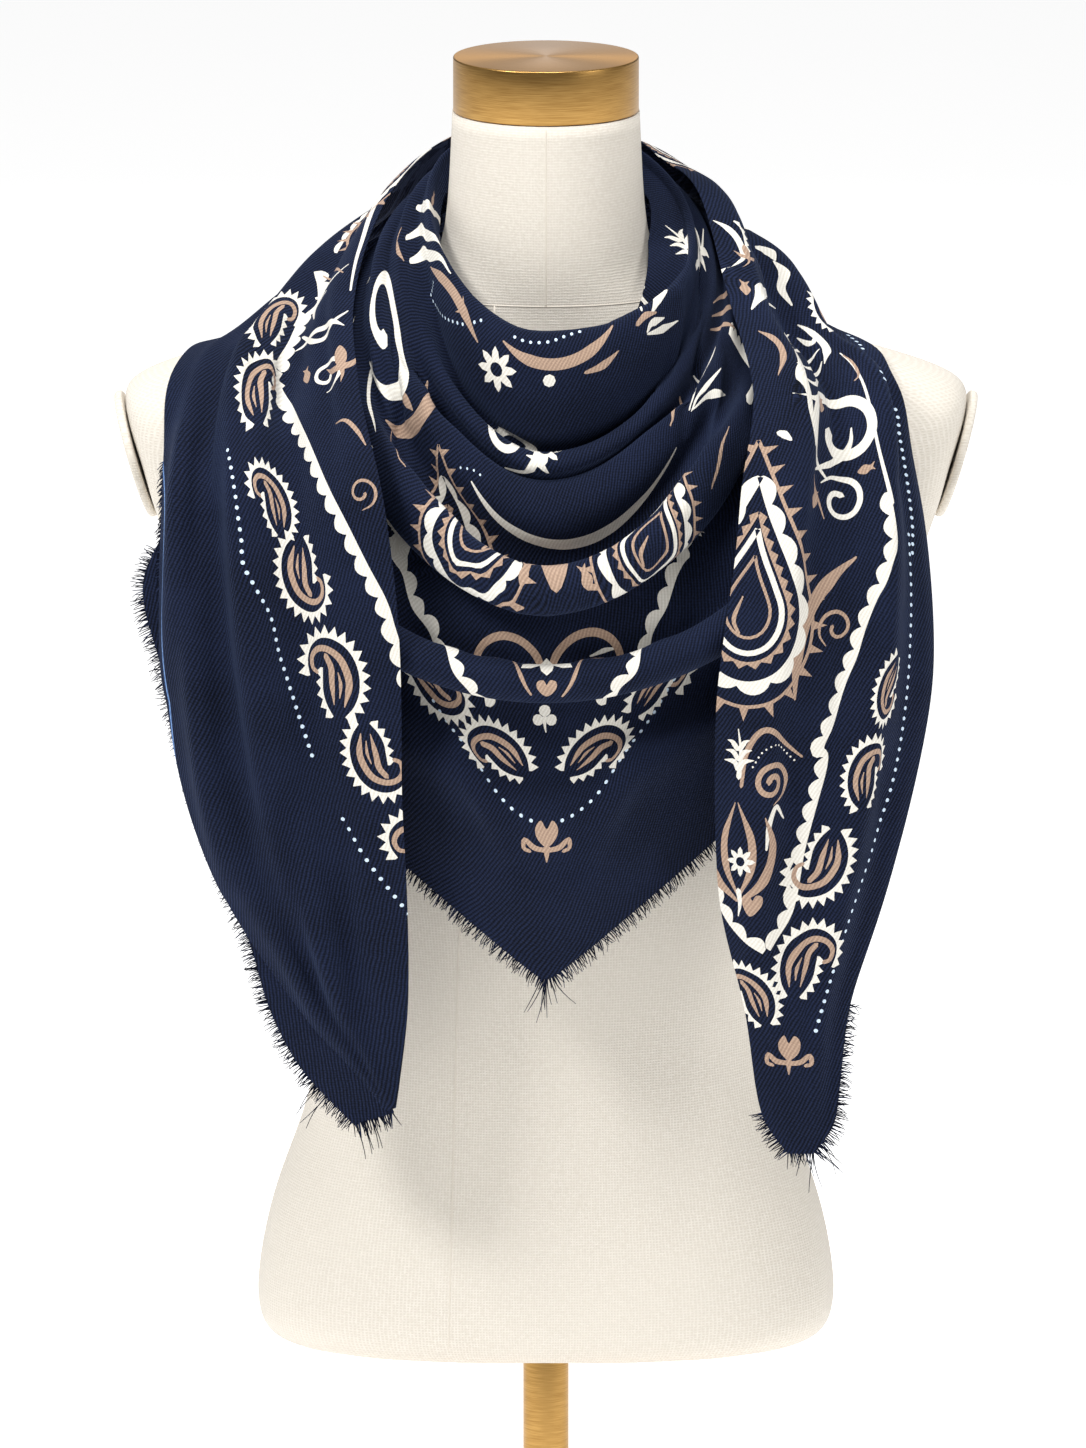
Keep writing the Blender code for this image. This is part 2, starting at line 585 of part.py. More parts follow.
def under_grid():
    """The second layer: a strip that starts behind the left tail's outer part and shows beyond its edge."""
    along = np.linspace(0.0, 1.0, UNDER_ROWS + 1)
    share = np.linspace(0.0, 1.0, UNDER_COLUMNS + 1)[None, :]
    line = through([list(row) for row in UNDER], along)
    x = line[:, 0:1] * (1.0 - share) + line[:, 2:3] * share
    z = line[:, 1:2] * (1.0 - share) + line[:, 3:4] * share
    edge = through([list(station) for station in LEFT_TAIL], np.linspace(0.3, 1.0, 60))[::-1]
    edge_x = np.interp(z, edge[:, 5], edge[:, 3])
    edge_out = np.interp(z, edge[:, 5], edge[:, 4])
    out = edge_out - UNDER_BEHIND + UNDER_SLOPE * (x - edge_x)
    return np.stack([x, -out, z], axis=2)


def divided(line, pitch):
    """The corners of a line, with points about a pitch apart between them."""
    points = []
    for here, following in zip(line[:-1], line[1:]):
        pieces = max(1, round(float(np.linalg.norm(following - here)) / pitch))
        points += [here + (following - here) * step / pieces for step in range(pieces)]
    points.append(line[-1])
    return np.array(points)


def fringe(name, edge, outside, facing, finish):
    """A row of four sided strands fused to a backing strip that runs along a frayed edge."""
    line = divided(edge, STRAND_PITCH)
    count = len(line)
    ahead = unit(np.gradient(line, axis=0))
    away = unit(np.cross(ahead, facing)) * outside
    top = np.cross(away, ahead) * outside
    half = top * BACKING_THICK / 2.0
    near = line + away * BACKING_OFF_CLOTH
    far = near + away * BACKING_WIDTH
    points = np.concatenate([near + half, far + half, far - half, near - half])
    faces = [(0, count, 2 * count, 3 * count)]
    end = count - 1
    faces.append((3 * count + end, 2 * count + end, count + end, end))
    mean_length, length_wave, length_turn = STRAND_LENGTH_WAVE
    tips = []
    for step in range(count - 1):
        following = step + 1
        for lane in (0, 2, 3):
            a = lane * count
            b = (lane + 1) % 4 * count
            faces.append((a + step, a + following, b + following, b + step))
        swing = sum(share * math.sin(step * turn) for share, turn in STRAND_SWINGS)
        length = STRAND_LENGTH * (mean_length + length_wave * math.sin(step * length_turn))
        middle = (far[step] + far[following]) / 2.0
        tips.append(middle + unit(away[step] + ahead[step] * swing) * length - top[step] * STRAND_DROOP)
        tip = 4 * count + step
        corners = (count + step, count + following, 2 * count + following, 2 * count + step)
        for here, onward in zip(corners, corners[1:] + corners[:1]):
            faces.append((here, onward, tip))
    points = np.concatenate([points, np.array(tips)])
    if outside > 0:
        faces = [face[::-1] for face in faces]
    return add_solid(name, points, faces, finish, smooth=False)


def build():
    clear_scene()
    linen = material("linen", (0.80, 0.755, 0.69), 0.9, 0.0)
    brass = material("brushed_brass", (0.50, 0.31, 0.12), 0.3, 1.0)
    cloth = material("navy_print_cloth", (0.022, 0.036, 0.11), 0.85, 0.0)
    frayed = material("frayed_yarn", (0.014, 0.02, 0.055), 0.9, 0.0)

    # Stand: base disc, pole, torso with its neck, brass cap and the two arm plates
    floor = -TORSO_LIFT
    disc = ((BASE_RADIUS, floor), (BASE_RADIUS, floor + BASE_THICK - BASE_EDGE))
    disc += ((BASE_RADIUS - BASE_EDGE, floor + BASE_THICK),)
    add_solid("base", *turned(disc, 48), brass, smooth=False)
    pole = ((POLE_RADIUS, floor + BASE_THICK + TOUCH), (POLE_RADIUS, -TOUCH))
    add_solid("pole", *turned(pole, 24), brass, smooth=False)
    torso_points, torso_faces = torso_mesh()
    add_solid("torso", torso_points, torso_faces, linen)
    cap_low = NECK_TOP + TOUCH
    cap_top = cap_low + CAP_HEIGHT
    cap = ((CAP_RADIUS, cap_low), (CAP_RADIUS, cap_top - CAP_EDGE), (CAP_RADIUS - CAP_EDGE, cap_top))
    add_solid("neck_cap", *turned(cap, 40), brass, smooth=False)
    arm_plate("arm_plate_left", -1.0, linen)
    arm_plate("arm_plate_right", 1.0, linen)
    form = surface_tree((torso_points, torso_faces))

    # Cowl round the neck, and the front drape with its point
    cowl = off_form(cowl_grid(), form, COWL_OFF_FORM)
    collar = wall("neck_cowl", cowl, cloth)
    point = off_form(drape_grid(), form, DRAPE_OFF_FORM)
    drape = wall("front_drape", point, cloth)

    # Right tail, then the left one, which crosses outside it at the nape
    covered = surface_tree((torso_points, torso_faces), object_shape(collar), object_shape(drape))
    right, right_facing = tail_grid(RIGHT_TAIL, RIGHT_FOLDS, False)
    right = lift_off(right, right_facing, covered, RIGHT_TAIL_OFF_CLOTH)
    right_tail = wall("right_tail", right, cloth)
    shapes = [object_shape(made) for made in (collar, drape, right_tail)]
    covered = surface_tree((torso_points, torso_faces), *shapes)
    left, left_facing = tail_grid(LEFT_TAIL, LEFT_FOLDS, True)
    left = lift_off(left, left_facing, covered, LEFT_TAIL_OFF_CLOTH)
    wall("left_tail", left[:, ::-1], cloth)
    under = under_grid()
    wall("left_tail_under", under[:, ::-1], cloth)

    # Frayed edges
    front = np.array([0.0, -1.0, 0.0])
    hem = point[-1] - grid_normals(point)[-1] * WALL / 2.0
    for name, side in (("front_point_fringe_left", -1.0), ("front_point_fringe_right", 1.0)):
        shown = hem[(hem[:, 0] * side > -0.5) & (hem[:, 0] * side < POINT_FRINGE_HALF)]
        fringe(name, shown, 1.0, front, frayed)
    middle = left - left_facing * WALL / 2.0
    first, last = (int(stage * TAIL_ROWS) for stage in LEFT_FRINGE_STAGES)
    fringe("left_tail_fringe", middle[first : last + 1, -1], 1.0, front, frayed)
    middle = under - np.array([0.0, -1.0, 0.0]) * WALL / 2.0
    line = np.concatenate([middle[1:, -1], middle[-1, -2::-1]])
    fringe("left_under_fringe", line, 1.0, front, frayed)
    middle = right - right_facing * WALL / 2.0
    first = int(RIGHT_FRINGE_STAGE * TAIL_ROWS)
    inner = int(RIGHT_FRINGE_INNER_STAGE * TAIL_ROWS)
    across = range(TAIL_COLUMNS - HEM_COLUMN_STEP, -1, -HEM_COLUMN_STEP)
    line = np.concatenate([middle[first:, -1], middle[-1, across], middle[-2 : inner - 1 : -1, 0]])
    fringe("right_tail_fringe", line, -1.0, front, frayed)


def object_shape(made):
    """The points of a finished object, in millimetres over the torso's lower edge, and its faces."""
    points = np.array([vertex.co for vertex in made.data.vertices]) / MM
    points[:, 2] -= TORSO_LIFT
    return points, [tuple(face.vertices) for face in made.data.polygons]


build()
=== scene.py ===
"""Printed bandana square on a limbless dress form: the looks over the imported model.

Lengths in the tables are millimetres, with heights over the lower edge of the form's torso, which stands
TORSO_LIFT over the floor. The front faces -Y. The file follows the object from the stand up to the scarf.
"""

import math
from collections import namedtuple

import bpy
import numpy as np
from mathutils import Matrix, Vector
from mathutils.bvhtree import BVHTree
from mathutils.geometry import delaunay_2d_cdt
from mathutils.kdtree import KDTree


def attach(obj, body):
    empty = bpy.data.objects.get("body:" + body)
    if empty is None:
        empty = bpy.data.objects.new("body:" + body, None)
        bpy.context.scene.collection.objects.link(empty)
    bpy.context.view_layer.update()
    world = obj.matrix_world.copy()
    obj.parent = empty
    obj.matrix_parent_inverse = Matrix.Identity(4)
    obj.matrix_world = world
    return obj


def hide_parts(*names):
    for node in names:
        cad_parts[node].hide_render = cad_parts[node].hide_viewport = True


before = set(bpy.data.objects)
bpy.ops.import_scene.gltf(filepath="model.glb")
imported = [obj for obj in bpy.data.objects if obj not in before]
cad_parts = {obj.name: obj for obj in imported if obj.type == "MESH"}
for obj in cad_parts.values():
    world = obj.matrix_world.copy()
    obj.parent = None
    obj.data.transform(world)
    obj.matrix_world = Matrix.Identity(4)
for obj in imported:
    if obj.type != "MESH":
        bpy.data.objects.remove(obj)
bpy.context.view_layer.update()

# ---------------------------------------------------------------------------------------------------------
# Studio. A pale seamless floor with soft lights, and a long lens a little over the form's middle, which is
# how the product picture was taken: the whole form is seen with almost no perspective.
MM = 0.001
VIEW_TILT = math.radians(12.2)
VIEW_DISTANCE = 8.0
VIEW_HEIGHT = 0.6831
VIEW_CENTRE = Vector((-0.0014, 0.0, 0.4975))
SENSOR = 24.0


def linear(hex_colour):
    """sRGB hex to linear colour with alpha."""
    parts = [int(hex_colour[i : i + 2], 16) / 255.0 for i in (1, 3, 5)]
    return tuple(p / 12.92 if p <= 0.04045 else ((p + 0.055) / 1.055) ** 2.4 for p in parts) + (1.0,)


def add_node(tree, kind, inputs=(), **settings):
    """Adds a node, sets its properties, and gives its inputs a value or a link from another node's output."""
    made = tree.nodes.new(kind)
    for key, value in settings.items():
        setattr(made, key, value)
    for key, value in dict(inputs).items():
        if isinstance(value, bpy.types.NodeSocket):
            tree.links.new(value, made.inputs[key])
        else:
            made.inputs[key].default_value = value
    return made


def add_object(name, data):
    """A new object in the scene."""
    made = bpy.data.objects.new(name, data)
    bpy.context.scene.collection.objects.link(made)
    return made


def two_tone(tree, factor, dark_at, dark_hex, light_at, light_hex):
    """A colour that runs from dark to light between two values of a factor."""
    made = add_node(tree, "ShaderNodeValToRGB", {"Fac": factor})
    dark, light = made.color_ramp.elements
    dark.position = dark_at
    dark.color = linear(dark_hex)
    light.position = light_at
    light.color = linear(light_hex)
    return made.outputs["Color"]


def new_material(name):
    """An empty material with its shader and output."""
    made = bpy.data.materials.new(name)
    made.use_nodes = True
    return made, made.node_tree, made.node_tree.nodes["Principled BSDF"]


camera = add_object("camera", bpy.data.cameras.new("camera"))
camera.data.sensor_fit = "VERTICAL"
camera.data.sensor_height = SENSOR
camera.data.lens = SENSOR * VIEW_DISTANCE / VIEW_HEIGHT
camera.data.clip_end = 60.0
camera.location = VIEW_CENTRE + VIEW_DISTANCE * Vector((0.0, -math.cos(VIEW_TILT), math.sin(VIEW_TILT)))
camera.rotation_euler = (math.pi / 2.0 - VIEW_TILT, 0.0, 0.0)
bpy.context.scene.camera = camera
bpy.context.scene.view_settings.view_transform = "Standard"

white, tree, shader = new_material("white_paper_floor")
shader.inputs["Base Color"].default_value = linear("#f4f4f4")
shader.inputs["Roughness"].default_value = 0.9
shader.inputs["Emission Color"].default_value = (1.0, 1.0, 1.0, 1.0)
shader.inputs["Emission Strength"].default_value = 0.66
bpy.ops.object.select_all(action="DESELECT")
bpy.ops.mesh.primitive_plane_add(size=40.0, location=(0.0, 0.0, 0.0))
floor = bpy.context.object
floor.name = "floor"
floor.data.materials.append(white)

world = bpy.data.worlds.new("studio")
world.use_nodes = True
world.node_tree.nodes["Background"].inputs["Color"].default_value = (1.0, 1.0, 1.0, 1.0)
world.node_tree.nodes["Background"].inputs["Strength"].default_value = 0.24
bpy.context.scene.world = world

Lamp = namedtuple("Lamp", "name x y z size watts")
LAMPS = (
    Lamp("key", -1.9, -1.6, 2.9, 0.8, 66.0),
    Lamp("fill", 2.4, -1.4, 1.6, 1.2, 20.0),
    Lamp("top", 0.0, -0.3, 3.1, 0.9, 52.0),
    Lamp("back", 0.0, 3.6, 1.7, 1.8, 7.0),
)
for row in LAMPS:
    light = add_object(row.name, bpy.data.lights.new(row.name, "AREA"))
    light.data.energy = row.watts
    light.data.size = row.size
    light.location = (row.x, row.y, row.z)
    light.rotation_euler = (VIEW_CENTRE - light.location).to_track_quat("-Z", "Y").to_euler()

# ---------------------------------------------------------------------------------------------------------
# Torso. A papier-mache form covered in natural linen, sewn from panels. Seams run round the neck's foot, up
# the neck's middle and down the body. It is a copy of the solid, welded, made of quads again and subdivided.
TORSO_LIFT = 204.0
LINEN_THREAD = 1.3
# A wave texture of scale 1 repeats after this length
WAVE_LENGTH = 0.314
LINEN_GIRTH_RADIUS = 0.085
NECK_SEAM_UP = 503.0
SEAM_RADIUS = 0.5
SEAM_PROUD = 0.26
SEAM_POINTS = 90
RING_SEAM_POINTS = 97
# All seams but the two at the sides are found by looking at the form from this far out
SEAM_EYE = 300.0
# A panel seam leans over by this share of its lean below this height, and by the rest above it
SEAM_BEND = 0.22
SEAM_BEND_UP = 200.0


def place_on_form(name):
    """Ends a piece of the stand: it rides with the stand."""
    made = bpy.data.objects[name]
    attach(made, "root")
    return made


linen, tree, shader = new_material("natural_linen_cover")
where = add_node(tree, "ShaderNodeTexCoord")
# Threads 1.3 mm apart, which is coarser than real linen, so that they still show in a picture of the whole
# form. They run up it and round it, so the place round it is an angle times a middling radius in metres
parts = add_node(tree, "ShaderNodeSeparateXYZ", {0: where.outputs["Object"]})
angle = add_node(tree, "ShaderNodeMath", {0: parts.outputs[1], 1: parts.outputs[0]}, operation="ARCTAN2")
girth = add_node(tree, "ShaderNodeMath", {0: angle.outputs[0], 1: LINEN_GIRTH_RADIUS}, operation="MULTIPLY")
wrapped = add_node(tree, "ShaderNodeCombineXYZ", {0: girth.outputs[0], 2: parts.outputs[2]})
threads = []
for name, turn in (("up", (0.0, 0.0, 0.0)), ("round", (0.0, math.pi / 2.0, 0.0))):
    turned_to = add_node(tree, "ShaderNodeMapping", {"Vector": wrapped.outputs[0], "Rotation": turn})
    wave = add_node(
        tree,
        "ShaderNodeTexWave",
        {
            "Vector": turned_to.outputs["Vector"],
            "Scale": WAVE_LENGTH / (LINEN_THREAD * MM),
            "Distortion": 2.2,
            "Detail": 2.0,
            "Detail Scale": 0.6,
        },
    )
    threads.append(wave.outputs["Fac"])
weave = add_node(tree, "ShaderNodeMath", {0: threads[0], 1: threads[1]}, operation="MAXIMUM")
slubs = add_node(
    tree, "ShaderNodeTexNoise", {"Vector": where.outputs["Object"], "Scale": 620.0, "Detail": 2.0}
)
mottle = add_node(
    tree, "ShaderNodeTexNoise", {"Vector": where.outputs["Object"], "Scale": 14.0, "Detail": 3.0}
)
shade = add_node(tree, "ShaderNodeMath", {0: weave.outputs[0], 1: slubs.outputs["Fac"]}, operation="MULTIPLY")
threads_colour = two_tone(tree, shade.outputs[0], 0.15, "#cfc6b8", 0.6, "#ece6dc")
soft = add_node(
    tree,
    "ShaderNodeMix",
    {"Factor": mottle.outputs["Fac"], 6: threads_colour, 7: linear("#e1dace")},
    data_type="RGBA",
)
tree.links.new(soft.outputs[2], shader.inputs["Base Color"])
bump = add_node(tree, "ShaderNodeBump", {"Height": shade.outputs[0], "Strength": 0.5, "Distance": 0.0005})
tree.links.new(bump.outputs["Normal"], shader.inputs["Normal"])
shader.inputs["Roughness"].default_value = 0.92
shader.inputs["Sheen Weight"].default_value = 0.1

bpy.ops.object.select_all(action="DESELECT")
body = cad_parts["torso"].copy()
body.data = body.data.copy()
body.name = "linen_torso"
bpy.context.scene.collection.objects.link(body)
bpy.context.view_layer.objects.active = body
body.select_set(True)
bpy.ops.object.mode_set(mode="EDIT")
bpy.ops.mesh.select_all(action="SELECT")
bpy.ops.mesh.remove_doubles(threshold=1e-6)
bpy.ops.mesh.tris_convert_to_quads(face_threshold=1.2, shape_threshold=1.2)
bpy.ops.object.mode_set(mode="OBJECT")
top_edge = max(v.co.z for v in body.data.vertices) - 0.0005
crease = body.data.attributes.new("crease_edge", "FLOAT", "EDGE")
for edge in body.data.edges:
    ends = [body.data.vertices[i].co.z for i in edge.vertices]
    crease.data[edge.index].value = 1.0 if min(ends) > top_edge else 0.0
rounding = body.modifiers.new("rounding", "SUBSURF")
rounding.levels = rounding.render_levels = 2
bpy.ops.object.modifier_apply(modifier="rounding")
body.data.materials.clear()
body.data.materials.append(linen)
body.data.polygons.foreach_set("use_smooth", [True] * len(body.data.polygons))
place_on_form("linen_torso")
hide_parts("torso")


def tree_of(*objects):
    """One search tree over finished objects, in millimetres over the torso's lower edge."""
    points = []
    faces = []
    for made in objects:
        start = len(points)
        coords = np.empty(len(made.data.vertices) * 3)
        made.data.vertices.foreach_get("co", coords)
        coords = coords.reshape(-1, 3) / MM - (0.0, 0.0, TORSO_LIFT)
        points += [Vector(point) for point in coords]
        faces += [tuple(i + start for i in face.vertices) for face in made.data.polygons]
    return BVHTree.FromPolygons(points, faces)


def thread_tubes(name, lines, radii, finish, sides=6):
    """Tubes along lines of points in millimetres, with a radius for each point, closed at both ends."""
    points = []
    faces = []
    turn = np.arange(sides) * 2.0 * math.pi / sides
    for line, radius in zip(lines, radii):
        line = np.asarray(line, float)
        ahead = np.gradient(line, axis=0)
        ahead /= np.maximum(np.linalg.norm(ahead, axis=1, keepdims=True), 1e-9)
        side = np.cross(ahead, (0.31, 0.17, 0.93))
        side /= np.maximum(np.linalg.norm(side, axis=1, keepdims=True), 1e-9)
        other = np.cross(ahead, side)
        start = len(points)
        for at, across, over, wide in zip(line, side, other, radius):
            points += [at + wide * (math.cos(t) * across + math.sin(t) * over) for t in turn]
        count = len(line)
        for step in range(count - 1):
            for i in range(sides):
                a = start + step * sides + i
                b = start + step * sides + (i + 1) % sides
                faces.append((a, b, b + sides, a + sides))
        faces.append(tuple(start + i for i in range(sides))[::-1])
        faces.append(tuple(start + (count - 1) * sides + i for i in range(sides)))
    placed = (np.array(points) + (0.0, 0.0, TORSO_LIFT)) * MM
    mesh = bpy.data.meshes.new(name)
    mesh.from_pydata(placed.tolist(), [], faces)
    mesh.materials.append(finish)
    mesh.polygons.foreach_set("use_smooth", [True] * len(mesh.polygons))
    return add_object(name, mesh)


form_tree = tree_of(body)


def seam_on_form(eyes, aims):
    """The points where lines from eyes to aims meet the form, raised so that a seam's roll stands proud."""
    found = []
    for eye, aim in zip(eyes, aims):
        ray = (Vector(aim) - Vector(eye)).normalized()
        hit, normal, _, _ = form_tree.ray_cast(Vector(eye), ray, 400.0)
        if hit is not None:
            found.append(np.array(hit + normal * (SEAM_PROUD - SEAM_RADIUS)))
    return np.array(found)


# The linen that is turned into a seam lies in shade, so it's a little darker than the cover
seam_linen, tree, shader = new_material("linen_seam_fold")
shader.inputs["Base Color"].default_value = linear("#ddd5c8")
shader.inputs["Roughness"].default_value = 0.92

Seam = namedtuple("Seam", "low high x_low x_high y_eye x_eye")
seams = []
ring = np.linspace(0.0, 2.0 * math.pi, RING_SEAM_POINTS)
spin = np.stack([np.sin(ring), -np.cos(ring), np.zeros(RING_SEAM_POINTS)], axis=1)
foot = np.array([0.0, 0.0, NECK_SEAM_UP])
seams.append(seam_on_form(foot + spin * SEAM_EYE, foot + spin))
SEAMS = (
    Seam(NECK_SEAM_UP, 586.0, 0.0, 0.0, -SEAM_EYE, 0.0),
    Seam(NECK_SEAM_UP, 586.0, 0.0, 0.0, SEAM_EYE, 0.0),
    Seam(4.0, NECK_SEAM_UP, -46.0, -24.0, -SEAM_EYE, -46.0),
    Seam(4.0, NECK_SEAM_UP, 0.0, 0.0, SEAM_EYE, 0.0),
    Seam(4.0, 380.0, 0.0, 0.0, 0.0, -400.0),
    Seam(4.0, 380.0, 0.0, 0.0, 0.0, 400.0),
)
for row in SEAMS:
    ups = np.linspace(row.low, row.high, SEAM_POINTS)
    bent = row.x_low + (row.x_high - row.x_low) * SEAM_BEND
    x = np.interp(ups, [row.low, SEAM_BEND_UP, row.high], [row.x_low, bent, row.x_high])
    x_eye = x if row.y_eye else np.full(SEAM_POINTS, row.x_eye)
    eyes = np.stack([x_eye, np.full(SEAM_POINTS, row.y_eye), ups], axis=1)
    seams.append(seam_on_form(eyes, np.stack([x, np.zeros(SEAM_POINTS), ups], axis=1)))
thread_tubes("linen_seams", seams, [np.full(len(s), SEAM_RADIUS) for s in seams], seam_linen)
place_on_form("linen_seams")

# ---------------------------------------------------------------------------------------------------------
# Arm plates. Oval plates that close the form where arms would start, wrapped in the same linen with a
# rounded edge, leaning inwards towards the top.
ARM_PLATE_HALF = (31.0, 37.0)
ARM_PLATE_THICK = 4.0
ARM_PLATE_EDGE = 1.6
# The rounded edge lies a little inside the solid's outline
ARM_PLATE_EASE = 0.985
ARM_PLATE_MIDDLE = (194.6, 3.0, 422.5)
ARM_PLATE_LEAN = math.radians(16.6)
for name, node_name, side in (
    ("linen_arm_plate_left", "arm_plate_left", -1),
    ("linen_arm_plate_right", "arm_plate_right", 1),
):
    bpy.ops.object.select_all(action="DESELECT")
    lean = ARM_PLATE_LEAN * side
    outward = Vector((math.cos(lean) * side, 0.0, -math.sin(lean) * side))
    middle = Vector((ARM_PLATE_MIDDLE[0] * side, ARM_PLATE_MIDDLE[1], ARM_PLATE_MIDDLE[2] + TORSO_LIFT))
    bpy.ops.mesh.primitive_cylinder_add(
        vertices=96,
        radius=MM,
        depth=ARM_PLATE_THICK * MM,
        location=(middle - outward * ARM_PLATE_THICK / 2.0) * MM,
        rotation=outward.to_track_quat("Z", "Y").to_euler(),
    )
    plate = bpy.context.object
    plate.name = name
    wide, tall = (half * ARM_PLATE_EASE for half in ARM_PLATE_HALF[::-1])
    plate.scale = (wide, tall, 1.0)
    long_axis = plate.matrix_world.to_3x3() @ Vector((1.0, 0.0, 0.0))
    if abs(long_axis.normalized().y) < 0.5:
        plate.scale = (tall, wide, 1.0)
    bpy.ops.object.transform_apply(location=True, rotation=True, scale=True)
    rounded = plate.modifiers.new("rounded", "BEVEL")
    rounded.width = ARM_PLATE_EDGE * MM
    rounded.segments = 4
    bpy.ops.object.modifier_apply(modifier="rounded")
    plate.data.materials.append(linen)
    bpy.ops.object.shade_smooth_by_angle(angle=math.radians(40.0))
    place_on_form(name)
    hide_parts(node_name)

# ---------------------------------------------------------------------------------------------------------
# Neck cap, pole and base. Brass, turned on a lathe and brushed: the walls have fine lines running round them
# and the flat tops have rings about the middle, so each shows bright and dark wedges.
CAP_RADIUS = 43.5
CAP_HEIGHT = 25.7
CAP_LOW = 587.5
POLE_RADIUS = 10.85
POLE_GAP = 0.3
BASE_RADIUS = 135.0
BASE_THICK = 12.0
BRUSH_LINE = 0.35


def brushed_brass(name, tangent_axis, stretch, light_hex, dark_hex, rough):
    """Brushed brass: fine lines along the brushing, a little colour change and a stretched reflection."""
    made, tree, shader = new_material(name)
    where = add_node(tree, "ShaderNodeTexCoord")
    if stretch == "rings":
        # Rings about the upright axis: the distance from it is the only thing that the lines follow
        parts = add_node(tree, "ShaderNodeSeparateXYZ", {0: where.outputs["Object"]})
        flat = add_node(tree, "ShaderNodeCombineXYZ", {0: parts.outputs[0], 1: parts.outputs[1]})
        reach = add_node(tree, "ShaderNodeVectorMath", {0: flat.outputs[0]}, operation="LENGTH")
        lines_at = add_node(tree, "ShaderNodeCombineXYZ", {0: reach.outputs["Value"]})
        lines_from = lines_at.outputs[0]
    else:
        spread = add_node(tree, "ShaderNodeMapping", {"Vector": where.outputs["Object"], "Scale": stretch})
        lines_from = spread.outputs["Vector"]
    lines = add_node(
        tree, "ShaderNodeTexNoise", {"Vector": lines_from, "Scale": 1.0 / (BRUSH_LINE * MM), "Detail": 3.0}
    )
    colour = two_tone(tree, lines.outputs["Fac"], 0.3, dark_hex, 0.7, light_hex)
    tree.links.new(colour, shader.inputs["Base Color"])
    bump = add_node(
        tree, "ShaderNodeBump", {"Height": lines.outputs["Fac"], "Strength": 0.12, "Distance": 0.00008}
    )
    tree.links.new(bump.outputs["Normal"], shader.inputs["Normal"])
    grain = add_node(tree, "ShaderNodeTangent", direction_type="RADIAL", axis=tangent_axis)
    tree.links.new(grain.outputs["Tangent"], shader.inputs["Tangent"])
    shader.inputs["Metallic"].default_value = 1.0
    shader.inputs["Roughness"].default_value = rough
    shader.inputs["Anisotropic"].default_value = 0.7
    return made


brass_wall = brushed_brass("brushed_brass_wall", "Z", (0.03, 0.03, 1.0), "#bd9557", "#9c7640", 0.28)
# The tops are a lighter, more golden brass than the walls: a painted highlight that stands in for the
# brighter reflection of the flat tops
brass_top = brushed_brass("brushed_brass_top_painted_highlight", "Z", "rings", "#d4a15c", "#b98a4a", 0.34)


def turned_piece(name, node_name, radius, low, high, edge, sides):
    """A turned brass piece: a round bar with eased edges, its flat ends brushed in rings."""
    bpy.ops.object.select_all(action="DESELECT")
    middle = (low + high) / 2.0 + TORSO_LIFT
    bpy.ops.mesh.primitive_cylinder_add(
        vertices=sides, radius=radius * MM, depth=(high - low) * MM, location=(0.0, 0.0, middle * MM)
    )
    made = bpy.context.object
    made.name = name
    bpy.ops.object.transform_apply(location=True, rotation=True, scale=True)
    eased = made.modifiers.new("eased", "BEVEL")
    eased.width = edge * MM
    eased.segments = 3
    bpy.ops.object.modifier_apply(modifier="eased")
    made.data.materials.append(brass_wall)
    made.data.materials.append(brass_top)
    for face in made.data.polygons:
        face.material_index = 1 if abs(face.normal.z) > 0.95 else 0
    bpy.ops.object.shade_smooth_by_angle(angle=math.radians(50.0))
    place_on_form(name)
    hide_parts(node_name)


base_top = BASE_THICK - TORSO_LIFT
turned_piece("brass_neck_cap", "neck_cap", CAP_RADIUS, CAP_LOW, CAP_LOW + CAP_HEIGHT, edge=0.7, sides=128)
turned_piece("brass_pole", "pole", POLE_RADIUS, base_top + POLE_GAP, -POLE_GAP, edge=0.3, sides=64)
turned_piece("brass_base", "base", BASE_RADIUS, -TORSO_LIFT, base_top, edge=2.0, sides=160)

# ---------------------------------------------------------------------------------------------------------
# The square. One printed cotton twill, 1.10 m each way with four frayed edges, folded corner to corner. Its
# print is cream and taupe on navy, and is laid here as faces of the cloth itself, cut along each edge of it.
CLOTH_THICK = 0.6
TWILL_PITCH = 1.7
PICK_PITCH = 1.2
RIDGE_SLANT = math.radians(28.0)
PICK_SLANT = RIDGE_SLANT - math.pi / 2.0
PICK_SHARE = 0.35
CLOUDY_SHARE = 0.5

NAVY, CREAM, TAUPE, PALE, THREAD = range(5)
SIDES = 5


